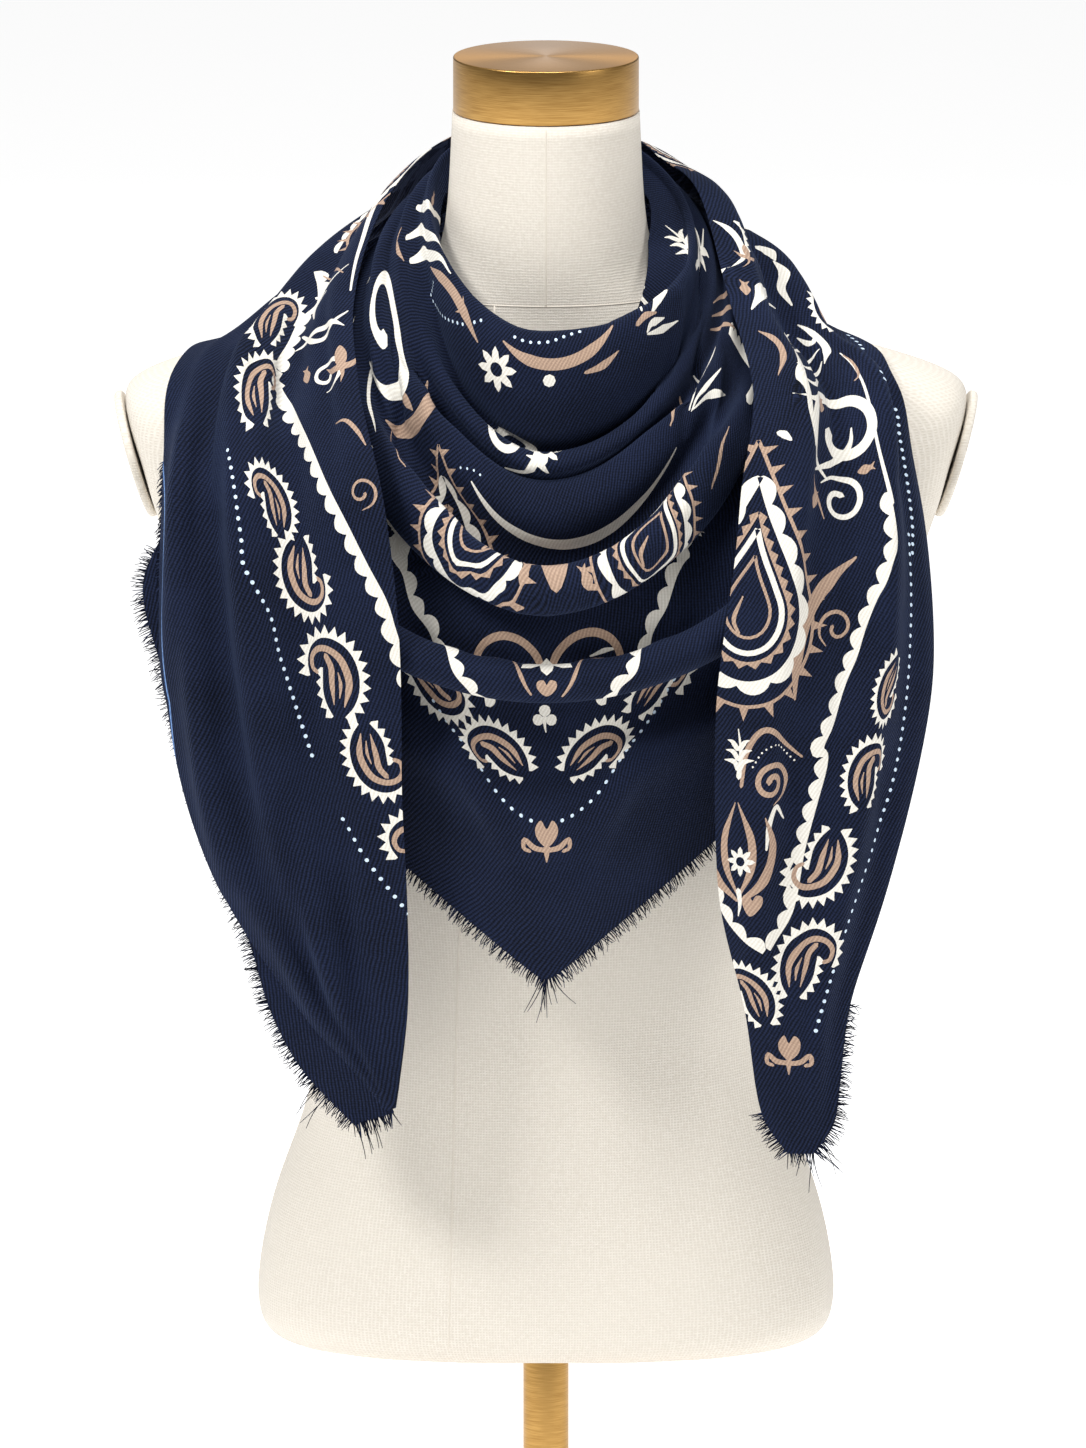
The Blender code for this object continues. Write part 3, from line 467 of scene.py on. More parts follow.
def printed_twill(name, light_hex, dark_hex, rough, grain):
    """Cotton twill in one print colour: slanting ridges, uneven yarn and a soft bloom on the folds.

    The ridges lie 1.7 mm apart, coarser than in real twill, so that they still show in a full picture.
    """
    made, tree, shader = new_material(name)
    cloth_uv = add_node(tree, "ShaderNodeUVMap", uv_map="cloth").outputs["UV"]
    slant = add_node(
        tree, "ShaderNodeMapping", {"Vector": cloth_uv, "Rotation": (0.0, 0.0, RIDGE_SLANT)}
    )
    ridges = add_node(
        tree,
        "ShaderNodeTexWave",
        {
            "Vector": slant.outputs["Vector"],
            "Scale": WAVE_LENGTH / (TWILL_PITCH * MM),
            "Distortion": 3.2,
            "Detail": 2.0,
            "Detail Scale": 0.5,
        },
    )
    across = add_node(
        tree, "ShaderNodeMapping", {"Vector": cloth_uv, "Rotation": (0.0, 0.0, PICK_SLANT)}
    )
    picks = add_node(
        tree,
        "ShaderNodeTexWave",
        {
            "Vector": across.outputs["Vector"],
            "Scale": WAVE_LENGTH / (PICK_PITCH * MM),
            "Distortion": 3.0,
            "Detail": 1.0,
        },
    )
    yarn = add_node(tree, "ShaderNodeTexNoise", {"Vector": cloth_uv, "Scale": 900.0, "Detail": 3.0})
    woven = add_node(
        tree,
        "ShaderNodeMath",
        {0: picks.outputs["Fac"], 1: PICK_SHARE, 2: ridges.outputs["Fac"]},
        operation="MULTIPLY_ADD",
    )
    height = add_node(
        tree, "ShaderNodeMath", {0: woven.outputs[0], 1: yarn.outputs["Fac"]}, operation="MULTIPLY"
    )
    cloudy = add_node(tree, "ShaderNodeTexNoise", {"Vector": cloth_uv, "Scale": 22.0, "Detail": 4.0})
    tone = add_node(
        tree,
        "ShaderNodeMath",
        {0: cloudy.outputs["Fac"], 1: CLOUDY_SHARE, 2: height.outputs[0]},
        operation="MULTIPLY_ADD",
    )
    colour = two_tone(tree, tone.outputs[0], 0.25, dark_hex, 0.95, light_hex)
    tree.links.new(colour, shader.inputs["Base Color"])
    bump = add_node(
        tree, "ShaderNodeBump", {"Height": height.outputs[0], "Strength": grain, "Distance": 0.0004}
    )
    tree.links.new(bump.outputs["Normal"], shader.inputs["Normal"])
    shader.inputs["Roughness"].default_value = rough
    shader.inputs["Sheen Weight"].default_value = 0.14
    shader.inputs["Sheen Roughness"].default_value = 0.5
    shader.inputs["Sheen Tint"].default_value = linear("#7f95c8")
    shader.inputs["Specular IOR Level"].default_value = 0.1
    return made


printed = [
    printed_twill("navy_twill", "#1e2742", "#03050b", 0.85, 1.0),
    printed_twill("cream_print", "#f1eee6", "#dcd7cb", 0.85, 0.3),
    printed_twill("taupe_print", "#c0a48f", "#9c8371", 0.88, 0.6),
    printed_twill("pale_blue_print", "#dcebf8", "#c3d8ec", 0.8, 0.2),
    printed_twill("edge_stitch_blue", "#7c9ccb", "#4d6ea3", 0.7, 0.3),
    printed_twill("navy_twill_reverse", "#222c4b", "#080c1a", 0.87, 0.8),
    printed_twill("cream_print_reverse", "#46506e", "#323a56", 0.87, 0.5),
    printed_twill("taupe_print_reverse", "#343a55", "#22283f", 0.88, 0.5),
    printed_twill("pale_blue_print_reverse", "#3c4c74", "#2c3a5c", 0.86, 0.4),
    printed_twill("edge_stitch_reverse", "#3a5080", "#2c3f68", 0.8, 0.3),
]


def spline_weights(knots, at):
    """The matrix that turns values at the knots into a smooth natural spline's values at other places."""
    count = len(knots)
    step = np.diff(knots)
    left = np.eye(count)
    right = np.zeros((count, count))
    for i in range(1, count - 1):
        left[i, i - 1 : i + 2] = (step[i - 1] / 6.0, (step[i - 1] + step[i]) / 3.0, step[i] / 6.0)
        right[i, i - 1 : i + 2] = (1.0 / step[i - 1], -1.0 / step[i - 1] - 1.0 / step[i], 1.0 / step[i])
    bend = np.linalg.solve(left, right)
    index = np.clip(np.searchsorted(knots, at, side="right") - 1, 0, count - 2)
    part = (at - knots[index]) / step[index]
    rest = 1.0 - part
    weights = np.zeros((len(at), count))
    weights[np.arange(len(at)), index] = rest
    weights[np.arange(len(at)), index + 1] += part
    scale = (step[index] ** 2 / 6.0)[:, None]
    weights += (rest**3 - rest)[:, None] * scale * bend[index]
    weights += (part**3 - part)[:, None] * scale * bend[index + 1]
    return weights


def chord_knots(grid, power):
    """Places of a grid's rows along the cloth, from the mean distance between them."""
    mean = np.linalg.norm(np.diff(grid, axis=0), axis=2).mean(axis=1)
    return np.concatenate([[0.0], np.cumsum(np.maximum(mean, 0.05) ** power)])


def finer(grid, rows, columns, power=0.7):
    """The same cloth with more rows and columns, as a smooth surface through the given points."""
    made = grid
    for count in (rows, columns):
        knots = chord_knots(made, power)
        at = np.interp(np.linspace(0.0, len(knots) - 1.0, count), np.arange(len(knots)), knots)
        made = np.tensordot(spline_weights(knots, at), made, axes=1).transpose(1, 0, 2)
    return made


def unit(vectors):
    return vectors / np.maximum(np.linalg.norm(vectors, axis=-1, keepdims=True), 1e-9)


def facing(grid):
    """Normals of a dense grid whose rows run down the cloth and whose columns run to the viewer's right."""
    return unit(np.cross(np.gradient(grid, axis=0), np.gradient(grid, axis=1)))


PAIRS = (
    (np.s_[:, :-1], np.s_[:, 1:]),
    (np.s_[:-1, :], np.s_[1:, :]),
    (np.s_[:-1, :-1], np.s_[1:, 1:]),
    (np.s_[:-1, 1:], np.s_[1:, :-1]),
)


def laid_flat(grid, column, passes=700):
    """Lays a folded grid flat with its distances kept as nearly as they can be: (across, up) for each point.

    It starts from lengths measured along one column and along each row, and then evens out what is left over.
    """
    down = np.linalg.norm(np.diff(grid[:, column], axis=0), axis=1)
    up = -np.concatenate([[0.0], np.cumsum(down)])
    over = np.linalg.norm(np.diff(grid, axis=1), axis=2)
    across = np.concatenate([np.zeros((len(grid), 1)), np.cumsum(over, axis=1)], axis=1)
    across = across - across[:, column : column + 1]
    flat = np.stack([across, np.repeat(up[:, None], grid.shape[1], axis=1)], axis=2)
    lengths = [np.linalg.norm(grid[a] - grid[b], axis=2) for a, b in PAIRS]
    weight = np.zeros(grid.shape[:2])
    for a, b in PAIRS:
        weight[a] += 1.0
        weight[b] += 1.0
    for _ in range(passes):
        move = np.zeros_like(flat)
        for (a, b), length in zip(PAIRS, lengths):
            apart = flat[b] - flat[a]
            far = np.maximum(np.linalg.norm(apart, axis=2), 1e-6)
            push = apart * ((far - length) / far * 0.5)[:, :, None]
            move[a] += push
            move[b] -= push
        flat = flat + move * (1.5 / weight)[:, :, None]
    return flat


Cloth = namedtuple("Cloth", "points normals flat x y")
# How many rows and columns a stretch's surface has, and how many of them are laid flat
Fine = namedtuple("Fine", "rows columns flat_rows flat_columns")


def cloth_of(grid, fine):
    """A dense surface with its normals and its flat pattern, from a coarse grid."""
    rows, columns, flat_rows, flat_columns = fine
    points = finer(grid, rows, columns)
    picked_rows = np.linspace(0, rows - 1, flat_rows).round().astype(int)
    picked_columns = np.linspace(0, columns - 1, flat_columns).round().astype(int)
    sparse = points[picked_rows][:, picked_columns]
    middle = flat_columns // 2
    flat = laid_flat(sparse, middle)
    flat = flat - flat[-1, middle]
    below = max(0, flat_rows - 1 - flat_rows // 6)
    rise = flat[below, middle]
    turn = math.atan2(rise[0], rise[1])
    turned = np.array([[math.cos(turn), -math.sin(turn)], [math.sin(turn), math.cos(turn)]])
    flat = flat @ turned.T
    across = spline_weights(picked_columns.astype(float), np.arange(columns, dtype=float))
    down = spline_weights(picked_rows.astype(float), np.arange(rows, dtype=float))
    dense = np.tensordot(across, np.tensordot(down, flat, axes=1), axes=(1, 1)).transpose(1, 0, 2)
    widths = np.linalg.norm(np.diff(points, axis=1), axis=2).mean(axis=0)
    heights = np.linalg.norm(np.diff(points, axis=0), axis=2).mean(axis=1)
    x = np.concatenate([[0.0], np.cumsum(widths)])
    y = np.concatenate([[0.0], np.cumsum(heights)])
    return Cloth(points, facing(points), dense, x, y)


# A soft ridge along a line of the flat cloth, or a hollow where high is below nought; wide is half its width
Crease = namedtuple("Crease", "u v to_u to_v wide high")


def creased(cloth, rows):
    """Adds ridges and hollows to a stretch, which leaves its flat pattern as it was."""
    lift = np.zeros(cloth.flat.shape[:2])
    for row in on_cloth(cloth, rows):
        start = np.array((row.u, row.v))
        way = np.array((row.to_u, row.to_v)) - start
        along = (cloth.flat - start) @ way / (way @ way)
        gap = np.linalg.norm(cloth.flat - start - along[..., None] * way, axis=2)
        fade = np.sin(math.pi * np.clip(along, 0.0, 1.0)) ** 0.6
        lift += row.high * np.exp(-((gap / row.wide) ** 2)) * fade
    points = cloth.points + cloth.normals * lift[..., None]
    return cloth._replace(points=points, normals=facing(points))


def read(values, row, column):
    """Values of a dense grid at fractional rows and columns, carried on straight beyond its edge."""
    r = np.clip(row.astype(int), 0, values.shape[0] - 2)
    c = np.clip(column.astype(int), 0, values.shape[1] - 2)
    a = (row - r)[:, None]
    b = (column - c)[:, None]
    near = values[r, c] * (1.0 - b) + values[r, c + 1] * b
    far = values[r + 1, c] * (1.0 - b) + values[r + 1, c + 1] * b
    return near * (1.0 - a) + far * a


FIND_STEP = 4
FIND_PASSES = 10


def found_on(cloth, places):
    """The fractional rows and columns of flat places."""
    sparse = cloth.flat[::FIND_STEP, ::FIND_STEP]
    near = KDTree(sparse.shape[0] * sparse.shape[1])
    for i, (u, v) in enumerate(sparse.reshape(-1, 2)):
        near.insert((u, v, 0.0), i)
    near.balance()
    start = np.array([near.find((u, v, 0.0))[1] for u, v in places])
    row = (start // sparse.shape[1] * FIND_STEP).astype(float)
    column = (start % sparse.shape[1] * FIND_STEP).astype(float)
    last_row, last_column = cloth.flat.shape[0] - 1.0, cloth.flat.shape[1] - 1.0
    for _ in range(FIND_PASSES):
        here = read(cloth.flat, row, column)
        r = np.clip(row.astype(int), 0, int(last_row) - 1)
        c = np.clip(column.astype(int), 0, int(last_column) - 1)
        by_row = cloth.flat[r + 1, c] - cloth.flat[r, c]
        by_column = cloth.flat[r, c + 1] - cloth.flat[r, c]
        miss = places - here
        turn = by_row[:, 0] * by_column[:, 1] - by_row[:, 1] * by_column[:, 0]
        turn = np.where(np.abs(turn) < 1e-9, 1e-9, turn)
        row_step = (miss[:, 0] * by_column[:, 1] - miss[:, 1] * by_column[:, 0]) / turn
        column_step = (miss[:, 1] * by_row[:, 0] - miss[:, 0] * by_row[:, 1]) / turn
        row = np.clip(row + np.clip(row_step, -8.0, 8.0), -20.0, last_row + 20.0)
        column = np.clip(column + np.clip(column_step, -8.0, 8.0), -20.0, last_column + 20.0)
    return row, column


def inside(shape, places):
    """Which places lie inside a closed outline."""
    after = np.roll(shape, -1, axis=0)
    x, y = places[:, 0:1], places[:, 1:2]
    crosses = (shape[:, 1] > y) != (after[:, 1] > y)
    rise = np.where(after[:, 1] == shape[:, 1], 1e-12, after[:, 1] - shape[:, 1])
    at = shape[:, 0] + (y - shape[:, 1]) * (after[:, 0] - shape[:, 0]) / rise
    return (crosses & (x < at)).sum(axis=1) % 2 == 1


def sewn(name, cloth, spacing, print_shapes, flipped=False):
    """Makes one stretch of the square: front faces cut along the print, the reverse, and the raw rim."""
    reach_x, reach_y = cloth.x[-1], cloth.y[-1]
    nx = max(2, int(round(reach_x / spacing[0])))
    ny = max(2, int(round(reach_y / spacing[1])))
    gx, gy = np.meshgrid(np.linspace(0.0, reach_x, nx + 1), np.linspace(0.0, reach_y, ny + 1))
    places = [np.stack([gx.ravel(), gy.ravel()], axis=1)]
    edges = []
    start = len(places[0])
    if print_shapes:
        every = np.concatenate([shape for _, shape in print_shapes])
        row, column = found_on(cloth, every)
        out_x = np.interp(np.clip(column, 0, len(cloth.x) - 1), np.arange(len(cloth.x)), cloth.x)
        out_y = np.interp(np.clip(row, 0, len(cloth.y) - 1), np.arange(len(cloth.y)), cloth.y)
        places.append(np.stack([out_x, out_y], axis=1))
        for _, shape in print_shapes:
            count = len(shape)
            edges += [(start + i, start + (i + 1) % count) for i in range(count)]
            start += count
    coords = [Vector(place) for place in np.concatenate(places)]
    points, _, triangles, _, _, _ = delaunay_2d_cdt(coords, edges, [], 0, 1e-4, False)
    points = np.array([tuple(p) for p in points])
    triangles = np.array([tuple(t) for t in triangles])
    column = np.interp(points[:, 0], cloth.x, np.arange(len(cloth.x)))
    row = np.interp(points[:, 1], cloth.y, np.arange(len(cloth.y)))
    flat = read(cloth.flat, row, column)
    outer = read(cloth.points, row, column)
    normal = unit(read(cloth.normals, row, column)) * (-1.0 if flipped else 1.0)
    middle = flat[triangles].mean(axis=1)
    colour = np.zeros(len(triangles), int)
    for tint, shape in print_shapes:
        low, high = shape.min(axis=0), shape.max(axis=0)
        near = np.nonzero(((middle >= low) & (middle <= high)).all(axis=1))[0]
        if len(near):
            colour[near[inside(shape, middle[near])]] = tint
    corner = outer[triangles]
    up = np.cross(corner[:, 1] - corner[:, 0], corner[:, 2] - corner[:, 0])
    size = np.linalg.norm(up, axis=1)
    keep = size > 1e-7
    triangles, colour, up = triangles[keep], colour[keep], up[keep]
    wrong = (up * normal[triangles].sum(axis=1)).sum(axis=1) < 0.0
    if wrong.mean() > 0.5:
        triangles = triangles[:, ::-1]
    inner = outer - normal * CLOTH_THICK
    count = len(outer)
    one_way = np.concatenate([triangles[:, [0, 1]], triangles[:, [1, 2]], triangles[:, [2, 0]]])
    owner = np.tile(np.arange(len(triangles)), 3)
    key = one_way.min(axis=1) * count + one_way.max(axis=1)
    _, first, times = np.unique(key, return_index=True, return_counts=True)
    rim = one_way[first[times == 1]]
    rim_colour = colour[owner[first[times == 1]]]
    back = triangles[:, ::-1] + count
    band = np.concatenate(
        [
            np.stack([rim[:, 1], rim[:, 0], rim[:, 0] + count], axis=1),
            np.stack([rim[:, 1], rim[:, 0] + count, rim[:, 1] + count], axis=1),
        ]
    )
    faces = np.concatenate([triangles, back, band])
    slots = np.concatenate([colour, colour + SIDES, np.tile(rim_colour, 2)])
    placed = (np.concatenate([outer, inner]) + (0.0, 0.0, TORSO_LIFT)) * MM
    mesh = bpy.data.meshes.new(name)
    mesh.from_pydata(placed.tolist(), [], faces.tolist())
    for finish in printed:
        mesh.materials.append(finish)
    mesh.polygons.foreach_set("material_index", slots.astype(np.int32))
    mesh.polygons.foreach_set("use_smooth", [True] * len(mesh.polygons))
    uv = mesh.uv_layers.new(name="cloth")
    both = np.concatenate([flat, flat]) * MM
    corners = np.empty(len(mesh.loops), np.int32)
    mesh.loops.foreach_get("vertex_index", corners)
    uv.data.foreach_set("uv", both[corners].ravel())
    mesh.update()
    mesh.normals_split_custom_set_from_vertices(np.concatenate([normal, -normal]).tolist())
    made = add_object(name, mesh)
    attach(made, "root")
    return made


# ---------------------------------------------------------------------------------------------------------
# Print. Each mark is drawn as outlines in millimetres of the flat cloth, with u to the right and v up from
# the middle of a stretch's hem. Widths of lines and heights of teeth are millimetres too.
LINE_STEP = 1.5


def curve(points, closed=False):
    """A smooth line through a few points, with corners a short step apart."""
    points = np.asarray(points, float)
    if closed:
        ends = np.concatenate([points[-1:], points, points[:2]])
    else:
        ends = np.concatenate([2 * points[:1] - points[1:2], points, 2 * points[-1:] - points[-2:-1]])
    made = []
    for before, here, after, beyond in zip(ends, ends[1:], ends[2:], ends[3:]):
        count = max(2, int(np.linalg.norm(after - here) / LINE_STEP) + 1)
        for t in np.arange(count) / count:
            bend = (2 * before - 5 * here + 4 * after - beyond) * t**2
            twist = (3 * here - before - 3 * after + beyond) * t**3
            made.append(0.5 * (2 * here + (after - before) * t + bend + twist))
    if not closed:
        made.append(points[-1])
    return np.array(made)


def along_line(line):
    """How far along the line each of its corners lies."""
    return np.concatenate([[0.0], np.cumsum(np.linalg.norm(np.diff(line, axis=0), axis=1))])


def left_of(line):
    """Unit steps to the left of a line at each of its corners."""
    ahead = unit(np.gradient(line, axis=0))
    return np.stack([-ahead[:, 1], ahead[:, 0]], axis=1)


def stroke(tint, widths, points):
    """A brush line whose width follows a short list along it."""
    line = curve(points)
    run = along_line(line)
    half = np.interp(run / run[-1], np.linspace(0.0, 1.0, len(widths)), widths)[:, None] / 2.0
    left = left_of(line)
    start = line[:1] - np.stack([left[:1, 1], -left[:1, 0]], axis=1) * half[0]
    end = line[-1:] + np.stack([left[-1:, 1], -left[-1:, 0]], axis=1) * half[-1]
    return [(tint, np.concatenate([start, line + left * half, end, (line - left * half)[::-1]]))]


def filled(tint, points):
    return [(tint, curve(points, closed=True))]


def disc(tint, radius, middle, corners=10):
    turn = np.arange(corners) * 2.0 * math.pi / corners
    return [(tint, np.asarray(middle) + radius * np.stack([np.cos(turn), np.sin(turn)], axis=1))]


# The outline of one tooth, barb or lump: where along its length a corner lies, and how high it stands there
TEETH = ((0.0, 0.0), (0.5, 1.0))
BARBS = ((0.0, 0.0), (0.26, 0.0), (0.44, 1.0), (0.62, 0.0))
LUMPS = ((0.0, 0.0), (0.12, 0.45), (0.25, 0.76), (0.38, 0.94), (0.5, 1.0))
LUMPS += ((0.62, 0.94), (0.75, 0.76), (0.88, 0.45))


def edged(tint, wide, tall, pitch, points, side, outline):
    """A line whose one side, the left for side 1, carries teeth, barbs or round lumps."""
    line = curve(points)
    run = along_line(line)
    count = max(1, int(round(run[-1] / pitch)))
    shares = (np.arange(count)[:, None] + [place for place, _ in outline]).ravel()
    shares = np.append(shares, count)
    rise = np.append(np.tile([high for _, high in outline], count), 0.0)
    at = shares * run[-1] / count
    here = np.stack([np.interp(at, run, line[:, i]) for i in (0, 1)], axis=1)
    left = left_of(here) * side
    outer = here + left * (wide / 2.0 + tall * rise)[:, None]
    inner = here - left * wide / 2.0
    return [(tint, np.concatenate([outer, inner[::-1]]))]


def toothed(tint, wide, tall, pitch, points, side=1.0):
    return edged(tint, wide, tall, pitch, points, side, TEETH)


def barbed(tint, wide, tall, pitch, points, side=1.0):
    return edged(tint, wide, tall, pitch, points, side, BARBS)


def scalloped(tint, wide, tall, pitch, points, side=1.0):
    return edged(tint, wide, tall, pitch, points, side, LUMPS)


def dotted(tint, radius, pitch, points):
    line = curve(points)
    run = along_line(line)
    made = []
    for at in np.arange(0.0, run[-1], pitch):
        made += disc(tint, radius, (np.interp(at, run, line[:, 0]), np.interp(at, run, line[:, 1])), 8)
    return made


def petals(tint, count, outer, inner, hole):
    """A flower head seen from above: pointed petals round a hole."""
    turn = np.arange(count * 4) * math.pi / (2.0 * count)
    reach = np.tile([outer, (outer + inner) / 1.9, inner, (outer + inner) / 1.9], count)
    head = np.stack([np.sin(turn) * reach, np.cos(turn) * reach], axis=1)
    return [(tint, head)] + disc(NAVY, hole, (0.0, 0.0), 12)


def small_paisley():
    """A comma-shaped drop with a toothed cream edge and a taupe hook inside, 36 mm tall."""
    right = ((-15.0, 1.0), (-15.4, 7.4), (-12.4, 13.6), (-6.0, 16.8), (1.0, 16.2), (7.4, 12.2), (11.4, 6.0))
    right += ((12.8, -1.0), (11.6, -8.4), (8.0, -14.4), (3.0, -18.3))
    left = ((-3.6, -17.0), (-6.6, -11.6), (-7.8, -6.0), (-7.0, -0.6), (-6.2, 4.0))
    hook = ((-9.4, 2.2), (-12.0, 4.4), (-11.6, 9.0), (-7.4, 11.8), (-1.6, 11.2), (3.6, 7.4), (6.2, 1.6))
    hook += ((6.6, -5.0), (3.0, -13.4))
    made = toothed(CREAM, 1.6, 3.8, 4.4, right)
    made += toothed(CREAM, 1.3, 3.0, 4.4, left)
    made += stroke(TAUPE, (1.8, 2.4, 2.6, 2.8, 3.2, 3.4, 3.0, 0.5), hook)
    made += stroke(TAUPE, (2.6, 3.2, 2.6, 0.4), ((-3.0, 8.6), (-0.8, 3.6), (-1.4, -3.0), (-1.8, -12.0)))
    return made + stroke(TAUPE, (0.5, 1.7, 0.4), ((2.4, 1.0), (2.8, -4.0), (1.4, -9.6)))


def big_paisley():
    """A large drop in rings, 85 mm tall: taupe teeth, cream lumps, fine lines and loops inside."""
    drop = np.array([(0, 43), (6, 31), (14, 15), (20, 0), (22, -14), (18, -28), (8, -38), (-4, -40)])
    drop = np.concatenate([drop, [(-15, -34), (-21, -22), (-21, -8), (-15, 6), (-8, 20), (-3, 32), (0, 43)]])
    middle = np.array((0.0, -10.0))
    made = []
    for make, tint, share, wide, tooth, pitch in (
        (barbed, TAUPE, 1.22, 1.3, 4.8, 8.6),
        (scalloped, CREAM, 0.94, 2.2, 3.0, 12.0),
        (toothed, TAUPE, 0.68, 0.9, 2.0, 5.0),
        (scalloped, CREAM, 0.56, 2.0, 0.0, 20.0),
        (scalloped, TAUPE, 0.37, 1.1, 0.0, 20.0),
    ):
        made += make(tint, wide, tooth, pitch, middle + (drop - middle) * share)
    made += stroke(TAUPE, (1.2, 1.6, 0.5), ((2.0, -20.0), (4.5, -15.0), (2.5, -6.0)))
    return made


def star_flower():
    return petals(CREAM, 8, 9.5, 4.8, 3.0)


def arrow_flower():
    """A taupe bud with two long pointed leaves, 24 mm tall."""
    made = filled(TAUPE, ((0, 11), (3.6, 6.5), (3.4, 0.5), (0, -3.0), (-3.4, 0.5), (-3.6, 6.5)))
    made += stroke(TAUPE, (4.2, 3.4, 0.4), ((0.5, -3.0), (7.0, -2.0), (13.0, 3.0)))
    made += stroke(TAUPE, (4.2, 3.4, 0.4), ((-0.5, -3.0), (-7.0, -2.0), (-13.0, 3.0)))
    made += stroke(TAUPE, (3.6, 2.4, 0.4), ((0.0, -2.0), (0.6, -7.0), (-0.8, -12.0)))
    return made


def fleur():
    """A taupe lily with two lobes and curled sides over a small foot, 20 mm tall."""
    half = ((4.4, 1), (5.2, 6), (2.6, 9.4))
    made = filled(TAUPE, ((0, -3), *half, (0, 5.5), *((-x, y) for x, y in half[::-1])))
    for side in (-1.0, 1.0):
        wing = ((0.8, -4.5), (6.0, -3.5), (10.2, -0.5), (10.8, -4.6), (7.8, -5.6))
        made += stroke(TAUPE, (2.2, 2.8, 2.2, 1.6), [(x * side, y) for x, y in wing])
    made += stroke(TAUPE, (3.0, 2.2, 0.6), ((0.0, -3.0), (0.0, -6.5), (0.0, -10.0)))
    return made


def trefoil():
    """Three round cream leaves on a short stalk, 14 mm tall."""
    made = disc(CREAM, 3.1, (0.0, 3.6))
    for side in (-1.0, 1.0):
        made += disc(CREAM, 2.9, (3.6 * side, -1.2))
    return made + stroke(CREAM, (2.6, 1.4, 0.6), ((0.0, 0.0), (0.0, -4.0), (0.6, -7.0)))


def heart_leaf():
    half = ((4.6, -0.5), (4.6, 4.2), (1.6, 5.2))
    return filled(TAUPE, ((0, -6), *half, (0, 2.2), *((-x, y) for x, y in half[::-1])))


def lotus():
    """A pointed taupe flower of four long petals over a stalk, 44 mm tall."""
    made = []
    for side in (-1.0, 1.0):
        outer = ((1.0, -16.0), (10.0, -8.0), (14.0, 4.0), (11.0, 16.0))
        inner = ((0.8, -13.0), (5.0, -4.0), (5.6, 8.0), (0.6, 22.0))
        made += stroke(TAUPE, (1.2, 4.4, 3.8, 0.4), [(x * side, y) for x, y in outer])
        made += stroke(TAUPE, (1.0, 3.2, 2.6, 0.4), [(x * side, y) for x, y in inner])
    return made + stroke(CREAM, (2.4, 1.6, 0.4), ((0.0, -12.0), (0.4, -17.0), (-0.6, -22.0)))


def spiral():
    """A taupe curl that thickens towards its middle, 24 mm tall."""
    turn = np.linspace(0.0, 3.4 * math.pi, 15)
    reach = 11.0 * (1.0 - turn / turn[-1] * 0.84)
    points = np.stack([np.sin(turn) * reach, -np.cos(turn) * reach], axis=1)
    return stroke(TAUPE, (0.4, 2.4, 2.8, 2.6, 3.0), points)


def feather():
    """Cream strokes that fan out from a quill, 24 mm tall."""
    made = stroke(CREAM, (2.8, 2.0, 0.5), ((0.0, -12.0), (1.2, 0.0), (0.0, 12.0)))
    for side in (-1.0, 1.0):
        for up in (-8.0, -3.0, 2.0):
            barb = ((0.6, up), (3.4 + 0.1 * up, up + 3.6), (6.4 - 0.2 * up, up + 4.4))
            made += stroke(CREAM, (2.6, 2.6, 0.4), [(x * side, y) for x, y in barb])
    return made


def crescents():
    """A stack of cream crescents that grow smaller, 34 mm tall."""
    made = []
    rows = ((-13.0, 10.0, 3.6), (-5.5, 8.4, 3.2), (1.5, 6.8, 2.8), (7.5, 5.2, 2.4), (12.5, 3.6, 2.0))
    for up, reach, thick in rows:
        tip = up + reach * 0.45
        made += stroke(CREAM, (0.5, thick, 0.5), ((-reach, tip), (0.0, up - 1.0), (reach, tip)))
    return made


def leaf():
    return filled(CREAM, ((0, -9), (3.2, -3), (3.0, 3), (0, 9), (-2.6, 3), (-2.8, -3)))


def bud():
    right = ((0, -6), (2.6, -1), (1.2, 3), (2.0, 6))
    return filled(TAUPE, (*right, (0, 4.6), (-2.2, 6.4), (-1.2, 3), (-2.6, -1)))


def arc(tint, tall, bow, thick):
    """A plain tapering bow between two ends."""
    along = np.linspace(-1.0, 1.0, 7)
    points = np.stack([bow * (1.0 - along**2), along * tall / 2.0], axis=1)
    return stroke(tint, (0.6, thick, thick, thick, 0.6), points)


def curl(tint, thick):
    """A plain curl that winds in once from its foot, 36 mm tall."""
    turn = np.linspace(0.0, 2.4 * math.pi, 13)
    reach = 18.0 * (1.0 - turn / turn[-1] * 0.75)
    points = np.stack([np.sin(turn) * reach, -np.cos(turn) * reach], axis=1)
    return stroke(tint, (0.8, thick, thick, thick * 0.8, thick), points)


